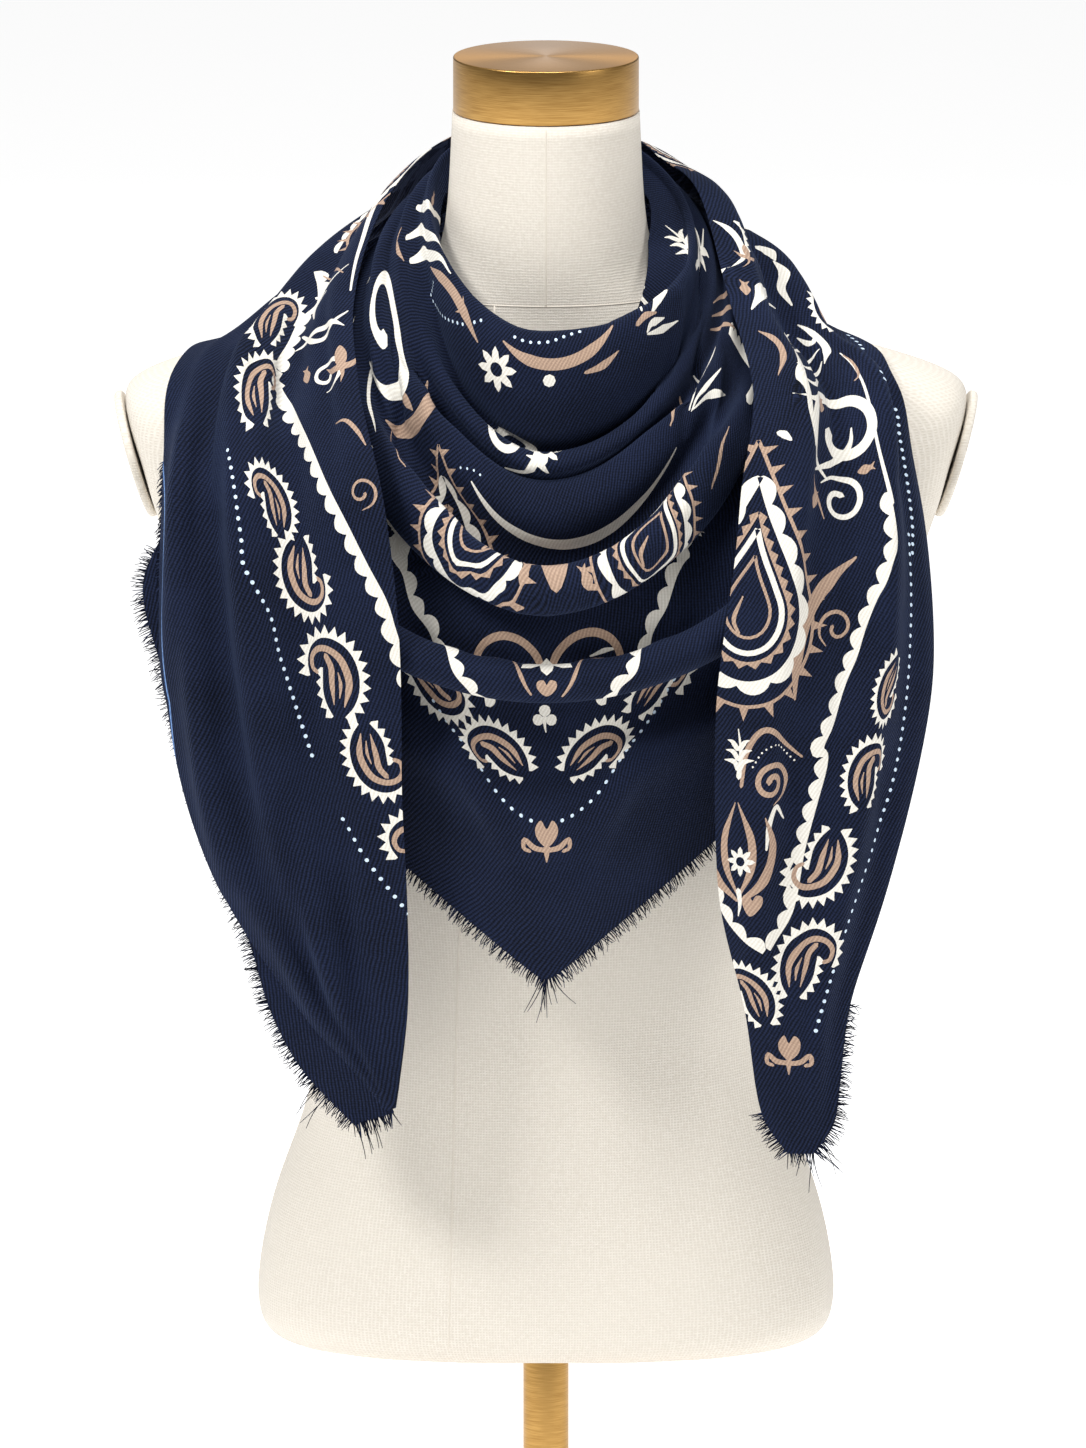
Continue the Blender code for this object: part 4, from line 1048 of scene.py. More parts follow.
# What a mark of each kind looks like, and how tall that drawing is
Motif = namedtuple("Motif", "shapes tall")
MOTIFS = {
    "small_paisley": Motif(small_paisley(), 36.0),
    "big_paisley": Motif(big_paisley(), 85.0),
    "star_flower": Motif(star_flower(), 19.0),
    "arrow_flower": Motif(arrow_flower(), 24.0),
    "fleur": Motif(fleur(), 20.0),
    "trefoil": Motif(trefoil(), 14.0),
    "heart_leaf": Motif(heart_leaf(), 12.0),
    "lotus": Motif(lotus(), 44.0),
    "spiral": Motif(spiral(), 24.0),
    "feather": Motif(feather(), 24.0),
    "crescents": Motif(crescents(), 34.0),
    "leaf": Motif(leaf(), 18.0),
    "bud": Motif(bud(), 12.0),
    "cream_arc": Motif(arc(CREAM, 40.0, 8.0, 4.6), 40.0),
    "long_arc": Motif(arc(CREAM, 90.0, 13.0, 4.2), 90.0),
    "taupe_arc": Motif(arc(TAUPE, 40.0, 7.0, 3.8), 40.0),
    "cream_curl": Motif(curl(CREAM, 4.2), 36.0),
    "taupe_curl": Motif(curl(TAUPE, 3.4), 36.0),
}
# A mark stands with its foot at u, v and its top at to_u, to_v; a wide of -1 turns it over
Mark = namedtuple("Mark", "motif u v to_u to_v wide")
# A line of the print: how it is drawn, its colour, its sizes, and the points that it runs through
Line = namedtuple("Line", "draw tint sizes points")
# The same rows for what shows in the picture. Their places are its pixels from its upper left corner, and are
# found on the stretch before its creases rise. "before" holds flat places that come first.
SeenLine = namedtuple("SeenLine", "draw tint sizes points before", defaults=[()])
SeenMark = namedtuple("SeenMark", "motif x y to_x to_y wide")
SeenCrease = namedtuple("SeenCrease", "x y to_x to_y wide high")
# The picture's measure, in millimetres a pixel across and up, and how far a point sinks in it for each
# millimetre that it comes nearer
PIXEL_WIDE = 0.4717
PIXEL_TALL = 0.48222
SINK_PER_OUT = 0.2126
# The form's middle column in pixels, and the row that shows its middle plane at the height LEVEL_UP
MIDDLE_PIXEL = 546.0
LEVEL_PIXEL = 724.0
LEVEL_UP = 293.5
# A pixel shows the nearest cloth within this many pixels of it, and no deeper than this behind the foremost
SEEN_WITHIN = 3.0
SEEN_DEPTH = 4.0


def flat_places(cloth):
    """A function from a pixel of the picture to the flat place of the cloth that shows there."""
    points = cloth.points.reshape(-1, 3)
    flat = cloth.flat.reshape(-1, 2)
    out = -points[:, 1]
    x = points[:, 0] / PIXEL_WIDE + MIDDLE_PIXEL
    y = LEVEL_PIXEL - (points[:, 2] - LEVEL_UP - SINK_PER_OUT * out) / PIXEL_TALL
    nearness = out * math.cos(VIEW_TILT) + points[:, 2] * math.sin(VIEW_TILT)

    def place(seen_x, seen_y):
        apart = np.hypot(x - seen_x, y - seen_y)
        close = np.nonzero(apart < SEEN_WITHIN)[0]
        if len(close) == 0:
            return tuple(flat[apart.argmin()].round())
        front = close[nearness[close] > nearness[close].max() - SEEN_DEPTH]
        return tuple(flat[front[apart[front].argmin()]].round())

    return place


def on_cloth(cloth, rows):
    """The same rows with every place that is given in pixels turned into a flat one."""
    place = flat_places(cloth)
    made = []
    for row in rows:
        if isinstance(row, SeenLine):
            points = row.before + tuple(place(x, y) for x, y in row.points)
            row = Line(row.draw, row.tint, row.sizes, points)
        elif isinstance(row, SeenMark):
            row = Mark(row.motif, *place(row.x, row.y), *place(row.to_x, row.to_y), row.wide)
        elif isinstance(row, SeenCrease):
            row = Crease(*place(row.x, row.y), *place(row.to_x, row.to_y), row.wide, row.high)
        made.append(row)
    return made


def printed_marks(cloth, lines, marks):
    """All outlines of one stretch's print, the later ones on top."""
    made = []
    for line in on_cloth(cloth, lines):
        if line.draw is stroke:
            made += stroke(line.tint, line.sizes, line.points)
        else:
            made += line.draw(line.tint, *line.sizes[:3], line.points, *line.sizes[3:])
    for mark in on_cloth(cloth, marks):
        motif = MOTIFS[mark.motif]
        foot = np.array((mark.u, mark.v))
        up = np.array((mark.to_u, mark.to_v)) - foot
        scale = np.linalg.norm(up) / motif.tall
        up = up / np.linalg.norm(up)
        right = np.array((up[1], -up[0])) * mark.wide
        middle = foot + up * motif.tall * scale / 2.0
        for tint, shape in motif.shapes:
            made.append((tint, middle + scale * (shape[:, :1] * right + shape[:, 1:] * up)))
    return made


# ---------------------------------------------------------------------------------------------------------
# Frayed edges. The square isn't hemmed: its outermost yarns are pulled out on every side, which leaves a
# fringe of fine loose threads, each bent its own way, with a longer one here and there at the corners.
THREAD_PITCH = 0.6
THREAD_RADIUS = 0.4
THREAD_LENGTH = (4.2, 7.4)
THREAD_STEPS = 6
LOOSE_THREADS = 5
LOOSE_LENGTH = (10.0, 19.0)
dice = np.random.default_rng(11)

frayed_yarn, tree, shader = new_material("frayed_cotton_yarn")
tone = add_node(tree, "ShaderNodeAttribute", attribute_name="tone")
colour = two_tone(tree, tone.outputs["Fac"], 0.2, "#0a0f20", 1.0, "#2c3653")
tree.links.new(colour, shader.inputs["Base Color"])
shader.inputs["Roughness"].default_value = 0.9
shader.inputs["Specular IOR Level"].default_value = 0.1


def frayed_edge(name, nodes, line, up, side, corners):
    """Threads along one raw edge. The corners are places where a few threads hang much further out."""
    run = along_line(line)
    count = int(run[-1] / THREAD_PITCH)
    at = (np.arange(count) + 0.5 + dice.uniform(-0.45, 0.45, count)) * THREAD_PITCH
    length = dice.uniform(*THREAD_LENGTH, count)
    loose = [place * run[-1] + dice.uniform(-5.0, 5.0, LOOSE_THREADS) for place in corners]
    loose = np.concatenate(loose or [np.zeros(0)])
    at = np.concatenate([at, np.clip(loose, 0.0, run[-1])])
    length = np.concatenate([length, dice.uniform(*LOOSE_LENGTH, len(loose))])
    foot = np.stack([np.interp(at, run, line[:, i]) for i in range(3)], axis=1)
    up = unit(np.stack([np.interp(at, run, up[:, i]) for i in range(3)], axis=1))
    gradient = np.gradient(line, run, axis=0)
    ahead = unit(np.stack([np.interp(at, run, gradient[:, i]) for i in range(3)], axis=1))
    away = unit(np.cross(ahead, up)) * side
    total = len(at)
    lean, lift, bend = (dice.normal(0.0, spread, (total, 1)) for spread in (0.14, 0.08, 0.16))
    reach = length[:, None]
    steps = np.linspace(0.0, 1.0, THREAD_STEPS)
    rings = []
    turn = np.arange(3) * 2.0 * math.pi / 3.0
    for step in steps:
        middle = foot - up * 0.3 - away * 0.8 + step * reach * (away + ahead * lean + up * lift)
        middle = middle + step**2 * reach * (ahead * bend - (0.0, 0.0, 0.16))
        radius = THREAD_RADIUS * (1.0 - 0.6 * step)
        ring = [middle + radius * (math.cos(t) * ahead + math.sin(t) * up) for t in turn]
        rings.append(np.stack(ring, axis=1))
    points = np.stack(rings, axis=1).reshape(-1, 3)
    per = 3 * THREAD_STEPS
    one = [(0, 2, 1), (per - 3, per - 2, per - 1)]
    for step in range(THREAD_STEPS - 1):
        for i in range(3):
            a, b = step * 3 + i, step * 3 + (i + 1) % 3
            one.append((a, b, b + 3))
            one.append((a, b + 3, a + 3))
    faces = (np.array(one)[None] + per * np.arange(total)[:, None, None]).reshape(-1, 3)
    mesh = bpy.data.meshes.new(name)
    placed = (points + (0.0, 0.0, TORSO_LIFT)) * MM
    mesh.from_pydata(placed.tolist(), [], (faces if side > 0 else faces[:, ::-1]).tolist())
    mesh.materials.append(frayed_yarn)
    mesh.polygons.foreach_set("use_smooth", [True] * len(mesh.polygons))
    tones = mesh.attributes.new("tone", "FLOAT", "POINT")
    tones.data.foreach_set("value", np.repeat(dice.uniform(0.0, 1.0, total) ** 2.5, per))
    made = add_object(name, mesh)
    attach(made, "root")
    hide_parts(*nodes)


# ---------------------------------------------------------------------------------------------------------
# Neck cowl. The middle of the folded square's long side, wound round the neck: four soft rolls hang under the
# chin and gather into pleats over the shoulders. Cloth only, held by its own friction.
# The rings of the cowl, from the neck down. "pinch" draws a round ring into a V at the front.
Ring = namedtuple(
    "Ring",
    "front_out front_up left_wide left_out left_up right_wide right_out right_up back_in back_up pinch",
)
RINGS = (
    Ring(85.0, 473.5, 56.0, 6.0, 540.0, 70.0, 18.0, 523.0, 57.0, 567.0, 0.0),
    Ring(90.0, 436.0, 68.0, 20.0, 523.0, 79.0, 28.0, 512.0, 65.0, 559.0, 0.2),
    Ring(97.0, 409.0, 80.0, 34.0, 508.0, 87.0, 38.0, 504.0, 73.0, 551.0, 0.22),
    Ring(130.0, 382.0, 91.0, 44.0, 486.0, 100.0, 46.0, 492.0, 82.0, 541.0, 0.1),
)
RING_REACH = 179.7
COLLAR_INSIDE = Ring(70.0, 466.0, 49.0, 6.0, 533.0, 48.0, 22.0, 525.0, 50.0, 556.0, 0.0)
# Half depths across each fold and half lengths along its face, at the front, the two sides and the nape.
FoldSize = namedtuple("FoldSize", "deep_front deep_side deep_back tall_front tall_left tall_right tall_back")
FOLDS = (
    FoldSize(9.0, 3.6, 2.4, 25.0, 6.0, 7.0, 5.0),
    FoldSize(7.0, 2.4, 2.2, 6.2, 4.0, 5.0, 4.0),
    FoldSize(8.0, 3.2, 2.2, 20.5, 4.0, 4.0, 4.0),
    FoldSize(10.5, 6.0, 3.0, 9.5, 19.0, 17.0, 5.0),
)
FOLD_ANGLES = (170.0, 100.0, 50.0, 0.0, -45.0)
LAST_FOLD_ANGLE = -115.0
COLLAR_LIP = (190.0, 1.2, 0.9)
# Towards the shoulders the round folds flatten to pleats of this height, between these angles from the front
PLEAT_RISE = 2.0
TUBE_TO_PLEAT = (38.0, 80.0)
COWL_OFF_FORM = 2.8
COWL_COLUMNS = 80
COLLAR_FINE = Fine(360, 520, 91, 81)
# Distances between the points of the mesh, across the cloth and down it
COLLAR_MESH = (2.6, 2.0)


def through(values, at):
    """Catmull-Rom curve through the rows of values, read at parameters that run from 0 to 1."""
    rows = np.asarray(values, float)
    last = len(rows) - 1
    place = np.clip(np.asarray(at, float), 0.0, 1.0) * last
    index = np.minimum(place.astype(int), last - 1)
    part = (place - index)[:, None]
    before = rows[np.maximum(index - 1, 0)]
    here = rows[index]
    after = rows[index + 1]
    beyond = rows[np.minimum(index + 2, last)]
    start = (after - before) / 2.0
    end = (beyond - here) / 2.0
    square = part * part
    cube = square * part
    blend = here * (2 * cube - 3 * square + 1) + after * (3 * square - 2 * cube)
    return blend + start * (cube - 2 * square + part) + end * (cube - square)


def round_trip(front, side, back, angle):
    """An even, smooth value round a ring: front at 0, side at a quarter turn, back at a half turn."""
    turn = (front - back) / 2.0
    middle = (front + back) / 2.0
    return (middle + side) / 2.0 + turn * np.cos(angle) + (middle - side) / 2.0 * np.cos(2.0 * angle)


def by_side(left, right, angle):
    """The left value for negative angles and the right one for positive, joined over the front."""
    share = 0.5 + 0.5 * np.clip(np.sin(angle) * 2.5, -1.0, 1.0)
    share = share * share * (3.0 - 2.0 * share)
    return left + (right - left) * share


def ring_line(ring, angle):
    """The centre line of one fold round the neck."""
    pinch = np.where(np.cos(angle) > 0.0, ring.pinch, 0.0)
    wave = (1.0 - pinch) * np.sin(angle) + pinch * np.sin(angle) ** 3
    x = by_side(ring.left_wide, ring.right_wide, angle) * wave
    side_out = by_side(ring.left_out, ring.right_out, angle)
    side_up = by_side(ring.left_up, ring.right_up, angle)
    y = -round_trip(ring.front_out, side_out, -ring.back_in, angle)
    z = round_trip(ring.front_up, side_up, ring.back_up, angle)
    return np.stack([x, y, z], axis=1)


def ring_frame(ring, angle):
    """A ring's centre line with its outward and upward directions."""
    step = 0.002
    forward = unit(ring_line(ring, angle + step) - ring_line(ring, angle - step))
    outward = unit(np.cross(forward, (0.0, 0.0, 1.0)))
    upright = (np.maximum(np.cos(angle), 0.0) ** 2)[:, None]
    upward = np.cross(outward, forward) * (1.0 - upright) + np.array([0.0, 0.0, 1.0]) * upright
    return ring_line(ring, angle), outward, unit(upward)


def fold_size(size, angle):
    """How deep and how tall a fold is at each angle round its ring."""
    deep = round_trip(size.deep_front, size.deep_side, size.deep_back, angle)
    tall_side = by_side(size.tall_left, size.tall_right, angle)
    tall = round_trip(size.tall_front, tall_side, size.tall_back, angle)
    return deep[:, None], tall[:, None]


def fold_lines(ring, size, angle, places):
    """The lines along one fold, each at a place (turn, depth share, height share) round its section."""
    line, outward, upward = ring_frame(ring, angle)
    deep, tall = fold_size(size, angle)
    rows = []
    for turn, deep_share, tall_share in places:
        out = deep * deep_share * math.cos(math.radians(turn))
        up = tall * tall_share * math.sin(math.radians(turn))
        rows.append(line + outward * out + upward * up)
    return rows


def spine(centres, place):
    """The line at a place between the ring centre lines, carried on straight past the first and last."""
    last = len(centres) - 1
    inside = min(max(place, 0.0), float(last))
    line = through(centres.reshape(last + 1, -1), [inside / last]).reshape(centres.shape[1:])
    if place < 0.0:
        line = line + place * (centres[1] - centres[0])
    if place > last:
        line = line + (place - last) * (centres[last] - centres[last - 1])
    return line


def cowl_grid(columns):
    """The neck cowl: four folds, round like tubes at the front and flattened to pleats over the shoulders."""
    angle = np.radians(np.linspace(-RING_REACH, RING_REACH, columns + 1))
    turns = tuple((turn, 1.0, 1.0) for turn in FOLD_ANGLES)
    tubes = [fold_lines(ring, size, angle, turns) for ring, size in zip(RINGS, FOLDS)]
    centres = np.stack([ring_line(ring, angle) for ring in RINGS])
    start, end = np.radians(TUBE_TO_PLEAT)
    flat = np.clip((np.abs(angle) - start) / (end - start), 0.0, 1.0)[:, None]
    flat = flat * flat * (3.0 - 2.0 * flat)
    ahead = unit(np.gradient(centres, axis=1))
    count = len(FOLD_ANGLES)
    rows = [ring_line(COLLAR_INSIDE, angle)] + fold_lines(RINGS[0], FOLDS[0], angle, (COLLAR_LIP,))
    for index, lines in enumerate(tubes):
        for number, tube in enumerate(lines):
            step = (number - (count - 1) / 2.0) / count
            here = spine(centres, index + step)
            down = spine(centres, index + step + 0.1) - spine(centres, index + step - 0.1)
            outward = unit(np.cross(down, ahead[index]))
            pleat = here + outward * PLEAT_RISE * math.cos(2.0 * math.pi * step)
            free = index == 0 and number < 2
            rows.append(tube if free else tube * (1.0 - flat) + pleat * flat)
    rows += fold_lines(RINGS[-1], FOLDS[-1], angle, ((LAST_FOLD_ANGLE, 1.0, 1.0),))
    return np.stack(rows)


def off_form(grid, tree, gap):
    """Moves points that lie too near the form, or in it, straight out from its skin."""
    moved = grid.copy()
    for row in range(grid.shape[0]):
        for column in range(grid.shape[1]):
            point = Vector(grid[row, column])
            near, normal, _, _ = tree.find_nearest(point)
            height = (point - near).dot(normal)
            if height < gap:
                moved[row, column] = np.array(point + normal * (gap - height))
    return moved


# The middle of the cloth: dotted arcs with a star under the chin, curls and a fan on the left, flowers on
# the right, and a pair of large drops on the lowest roll
COLLAR_LINES = (
    SeenLine(dotted, PALE, (0.9, 4.6), (
        (435, 287), (432, 301), (440, 316), (454, 327), (466, 330), (482, 326),
    )),
    SeenLine(dotted, PALE, (0.9, 4.6), ((514, 342), (530, 347), (548, 347), (566, 342), (584, 336))),
    SeenLine(stroke, TAUPE, (1.6, 4.2, 0.6), ((586, 377), (602, 371), (617, 355))),
    Line(dotted, CREAM, (3.2, 30.0), ((-1, 212), (3, 212))),
    SeenLine(dotted, PALE, (0.6, 4.0), ((462, 470), (474, 474), (486, 480))),
    SeenLine(stroke, CREAM, (0.6, 4.0, 0.6), ((526, 460), (536, 464), (549, 473))),
    SeenLine(stroke, CREAM, (3.0, 7.0, 6.0, 0.8), ((418, 210), (430, 209), (441, 225), (448, 246))),
    SeenLine(stroke, CREAM, (3.0, 7.0, 6.0, 0.8), ((407, 240), (421, 233), (436, 241), (450, 264))),
    SeenLine(stroke, CREAM, (3.0, 7.5, 6.0, 0.8), ((411, 264), (425, 256), (439, 260), (452, 278))),
    SeenLine(stroke, TAUPE, (1.4, 6.6, 7.0, 1.4), ((396, 391), (402, 397), (410, 407), (414, 414))),
    SeenLine(stroke, TAUPE, (0.6, 5.6, 0.6), ((403, 231), (398, 246), (405, 264))),
    SeenLine(stroke, TAUPE, (0.6, 1.4, 0.6), ((395, 428), (400, 452), (407, 470))),
    SeenLine(stroke, CREAM, (1.0, 4.4, 0.8), ((645, 338), (650, 330), (662, 322))),
    SeenLine(stroke, CREAM, (1.0, 4.6, 0.8), ((646, 340), (660, 334), (674, 326))),
    SeenLine(stroke, CREAM, (1.0, 4.2, 0.8), ((640, 318), (643, 305), (641, 290))),
    SeenLine(stroke, CREAM, (1.0, 3.8, 0.8), ((648, 320), (655, 308), (666, 297))),
    SeenLine(stroke, TAUPE, (2.6, 3.4, 1.0), ((636, 330), (644, 322), (654, 318))),
    SeenLine(scalloped, CREAM, (4.0, 3.0, 9.0), (
        (727, 334), (737, 352), (747, 366), (752, 384), (744, 402),
    )),
    SeenLine(stroke, CREAM, (1.0, 5.0, 0.8), ((689, 414), (698, 396), (716, 375))),
    SeenLine(stroke, CREAM, (1.0, 4.4, 0.8), ((692, 412), (706, 400), (722, 398))),
    SeenLine(stroke, CREAM, (1.0, 3.8, 0.8), ((688, 412), (692, 394), (694, 378))),
    SeenLine(stroke, TAUPE, (1.0, 4.0, 0.8), ((668, 430), (672, 416), (678, 402))),
    SeenLine(stroke, TAUPE, (0.8, 3.4, 0.8), ((712, 306), (722, 300), (736, 300))),
    SeenLine(stroke, TAUPE, (0.8, 3.4, 0.8), ((710, 320), (722, 316), (738, 316))),
    SeenLine(stroke, TAUPE, (0.8, 3.0, 0.8), ((708, 334), (720, 330), (732, 332))),
    SeenLine(stroke, TAUPE, (0.8, 2.6, 0.6), ((708, 492), (716, 466), (727, 430))),
    SeenLine(scalloped, CREAM, (2.6, 3.4, 10.0, -1.0), ((690, 390), (704, 372), (714, 350))),
    Line(scalloped, CREAM, (2.2, 3.2, 11.0), ((-330, 40), (-250, 26), (-170, 18), (-110, 8))),
    Line(scalloped, CREAM, (2.2, 3.2, 11.0), ((110, 8), (170, 18), (250, 26), (340, 40))),
)
COLLAR_MARKS = (
    SeenMark("taupe_arc", 432, 272, 478, 346, -1),
    SeenMark("taupe_arc", 505, 347, 611, 331, 1),
    SeenMark("long_arc", 474, 483, 674, 450, 1),
    SeenMark("cream_curl", 507, 470, 507, 430, 1),
    SeenMark("cream_curl", 372, 366, 398, 290, 1),
    SeenMark("cream_arc", 377, 366, 377, 434, 1),
    SeenMark("long_arc", 357, 320, 375, 450, 1),
    SeenMark("taupe_arc", 388, 424, 429, 385, 1),
    SeenMark("star_flower", 499, 395, 495, 351, 1),
    SeenMark("feather", 696, 268, 702, 232, 0.7),
    SeenMark("arrow_flower", 466, 318, 456, 302, 0.8),
    SeenMark("bud", 434, 209, 435, 195, 1),
    SeenMark("bud", 470, 268, 476, 256, 1),
    Mark("feather", 112, 250, 132, 266, 1),
    Mark("star_flower", -2, 152, -2, 170, 1),
    Mark("big_paisley", -26, 12, -62, 84, 1.15),
    Mark("big_paisley", 30, 10, 82, 52, -1.3),
    SeenMark("bud", 521, 590, 524, 572, 1),
    SeenMark("bud", 556, 594, 556, 573, 1),
    SeenMark("bud", 588, 592, 582, 574, 1),
    Mark("lotus", -190, 60, -214, 96, 1),
    Mark("lotus", 190, 60, 214, 96, 1),
    Mark("big_paisley", -236, 60, -306, 96, 1),
    Mark("big_paisley", 236, 60, 306, 96, -1),
    Mark("crescents", -180, 140, -206, 164, 1),
    Mark("crescents", 184, 140, 210, 164, 1),
    Mark("star_flower", -240, 140, -256, 150, 1),
    Mark("star_flower", 240, 140, 256, 150, 1),
    Mark("feather", -190, 200, -214, 214, 1),
    Mark("feather", 190, 200, 214, 214, 1),
    Mark("arrow_flower", -290, 160, -306, 176, 1),
    Mark("arrow_flower", 290, 160, 306, 176, 1),
)
# Folds that the cloth fell into, and the hollows between them
COLLAR_CREASES = (
    SeenCrease(372, 300, 392, 430, 6.0, 2.6),
    SeenCrease(412, 330, 430, 440, 7.0, 3.8),
    SeenCrease(395, 330, 412, 470, 4.5, -4.0),
    SeenCrease(720, 330, 705, 470, 6.0, 3.0),
    SeenCrease(676, 290, 650, 420, 6.0, 2.4),
    SeenCrease(700, 270, 690, 340, 4.0, -3.0),
    SeenCrease(700, 330, 684, 440, 4.5, -4.0),
    SeenCrease(500, 590, 560, 610, 6.0, 1.2),
    SeenCrease(470, 560, 520, 612, 4.0, -1.2),
    SeenCrease(430, 470, 450, 560, 6.0, 1.4),
    SeenCrease(690, 470, 664, 560, 6.0, 1.4),
    SeenCrease(600, 300, 690, 270, 7.0, 2.0),
    SeenCrease(520, 380, 620, 420, 14.0, -2.0),
    Crease(-90, 33, 90, 33, 8.0, 5.0),
    Crease(-80, 58, 80, 58, 11.0, -8.0),
    Crease(-80, 88, 80, 88, 14.0, 2.5),
    Crease(-80, 123, 80, 123, 8.0, -4.0),
    Crease(-80, 153, 80, 153, 8.0, 2.5),
    Crease(-80, 171, 80, 171, 7.0, -5.0),
)


form_solid = tree_of(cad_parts["torso"])
collar_shape = off_form(cowl_grid(COWL_COLUMNS), form_solid, COWL_OFF_FORM)
collar_smooth = cloth_of(collar_shape, COLLAR_FINE)
collar = creased(collar_smooth, COLLAR_CREASES)
clear_points = off_form(collar.points, form_solid, COWL_OFF_FORM)
collar = collar._replace(points=clear_points, normals=facing(clear_points))
collar_print = printed_marks(collar_smooth, COLLAR_LINES, COLLAR_MARKS)
neck_cowl = sewn("twill_neck_cowl", collar, COLLAR_MESH, collar_print)
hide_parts("neck_cowl")

# ---------------------------------------------------------------------------------------------------------
# Front drape and point. The triangle's middle comes out from inside the lowest roll, swings across once more
# and hangs in a point with two frayed edges. It is the same cloth as the cowl, which is cut in a hidden fold.
SWAG = Ring(132.0, 341.0, 140.0, 55.0, 450.0, 142.0, 55.0, 450.0, 92.0, 520.0, 0.0)
SWAG_REACH = 72.0
DRAPE_START_REACH = 60.0
SWAG_SIZE = FoldSize(10.0, 7.0, 6.0, 9.2, 13.0, 13.0, 12.0)
SWAG_ANGLES = (150.0, 95.0, 45.0, -5.0, -60.0, -120.0)
# Where the front drape starts, inside the lowest ring and behind its underside: the shares of its depth and
# height, and how much further in
DRAPE_START = ((-0.8, -0.25, 0.0), (-1.0, -0.95, 1.5))

# The plain front point under the rings: V shaped lines that run parallel with its two frayed edges.
PointRow = namedtuple("PointRow", "out up slope rounding half_wide edge_out")
POINT = (
    PointRow(121.0, 320.0, 0.46, 30.0, 132.0, 66.0),
    PointRow(124.0, 303.0, 0.56, 26.0, 133.0, 72.0),
    PointRow(138.0, 284.0, 0.66, 22.0, 134.0, 80.0),
    PointRow(135.0, 262.0, 0.72, 16.0, 135.0, 80.0),
    PointRow(130.0, 236.0, 0.78, 10.0, 135.0, 78.0),
    PointRow(125.0, 214.0, 0.81, 6.0, 135.0, 76.0),
    PointRow(122.0, 198.0, 0.82, 3.0, 135.0, 74.0),
)
DRAPE_OFF_FORM = 3.6
DRAPE_COLUMNS = 52
DRAPE_FINE = Fine(300, 420, 76, 81)
DRAPE_MESH = (2.6, 2.2)


def point_line(row, across):
    """One V shaped line of the front point."""
    x = across * row.half_wide
    rise = np.sqrt(x * x + row.rounding**2) - row.rounding
    out = row.out + (row.edge_out - row.out) * np.abs(across) ** 1.8
    return np.stack([x, -out, row.up + row.slope * rise], axis=1)


def drape_grid(columns):
    """The front drape: it comes from inside the lowest ring, makes one more swag and ends in the point."""
    across = np.linspace(-1.0, 1.0, columns + 1)
    angle = across * math.radians(SWAG_REACH)
    start = across * math.radians(DRAPE_START_REACH)
    line, outward, upward = ring_frame(RINGS[-1], start)
    deep, tall = fold_size(FOLDS[-1], start)
    rows = [line + outward * (deep * out - extra) + upward * (tall * up) for out, up, extra in DRAPE_START]
    swag = fold_lines(SWAG, SWAG_SIZE, angle, tuple((turn, 1.0, 1.0) for turn in SWAG_ANGLES))
    rows += [rows[-1] * (1.0 - share) + swag[0] * share for share in (1.0 / 3.0, 2.0 / 3.0)]
    rows += swag
    rows += [point_line(row, across) for row in POINT]
    return np.stack(rows)


# The point: a lily in the corner of the dotted line, drops along both edges, the lumped border and two curls
DRAPE_LINES = (
    Line(dotted, PALE, (1.0, 5.5), ((-8, 83), (-16, 86), (-26, 93), (-60, 124), (-120, 176), (-170, 220))),
    Line(dotted, PALE, (1.0, 5.5), ((8, 83), (17, 86), (28, 93), (62, 124), (120, 176), (170, 220))),
    SeenLine(scalloped, CREAM, (2.6, 3.6, 10.5), (
        (386, 506), (396, 540), (407, 575), (416, 606), (437, 640), (455, 668), (475, 694), (490, 706),
    )),
    SeenLine(scalloped, CREAM, (2.6, 3.6, 10.5, -1.0), (
        (702, 515), (686, 545), (672, 575), (664, 604), (648, 640), (634, 668), (615, 692), (602, 704),
    )),
    SeenLine(stroke, TAUPE, (1.0, 2.0, 1.0), ((514, 662), (524, 680), (530, 694))),
    SeenLine(stroke, TAUPE, (1.0, 2.0, 1.0), ((582, 662), (572, 680), (562, 696))),
    SeenLine(stroke, CREAM, (0.8, 2.4, 0.6), ((590, 656), (604, 650), (616, 648))),
)
DRAPE_MARKS = (
    SeenMark("taupe_curl", 532, 668, 482, 628, 1),
    SeenMark("taupe_curl", 562, 668, 616, 624, -1),
    SeenMark("star_flower", 547, 676, 547, 657, 1.3),
    SeenMark("heart_leaf", 547, 696, 547, 679, 1.1),
    Mark("fleur", 0, 62, 0, 84, 1),
    Mark("trefoil", -1, 128, -1, 142, 1),
    Mark("small_paisley", -10, 106, -42, 124, 0.9),
    Mark("small_paisley", 10, 106, 42, 124, -0.9),
    Mark("small_paisley", -78, 148, -48, 124, 0.9),
    Mark("small_paisley", 48, 126, 80, 148, -0.9),
    Mark("small_paisley", -86, 154, -116, 178, 0.9),
    Mark("small_paisley", 86, 154, 116, 178, -0.9),
)
# Folds that the cloth fell into, and the hollows between them
DRAPE_CREASES = (
    SeenCrease(440, 690, 512, 860, 9.0, 3.0),
    SeenCrease(470, 700, 530, 880, 6.0, -1.4),
    SeenCrease(650, 690, 590, 860, 9.0, 3.0),
    SeenCrease(612, 720, 570, 880, 6.0, -1.4),
    SeenCrease(480, 640, 520, 700, 7.0, 1.4),
    SeenCrease(600, 640, 570, 700, 7.0, 1.4),
    SeenCrease(420, 560, 470, 660, 6.0, 1.4),
    SeenCrease(680, 560, 640, 660, 6.0, 1.4),
)


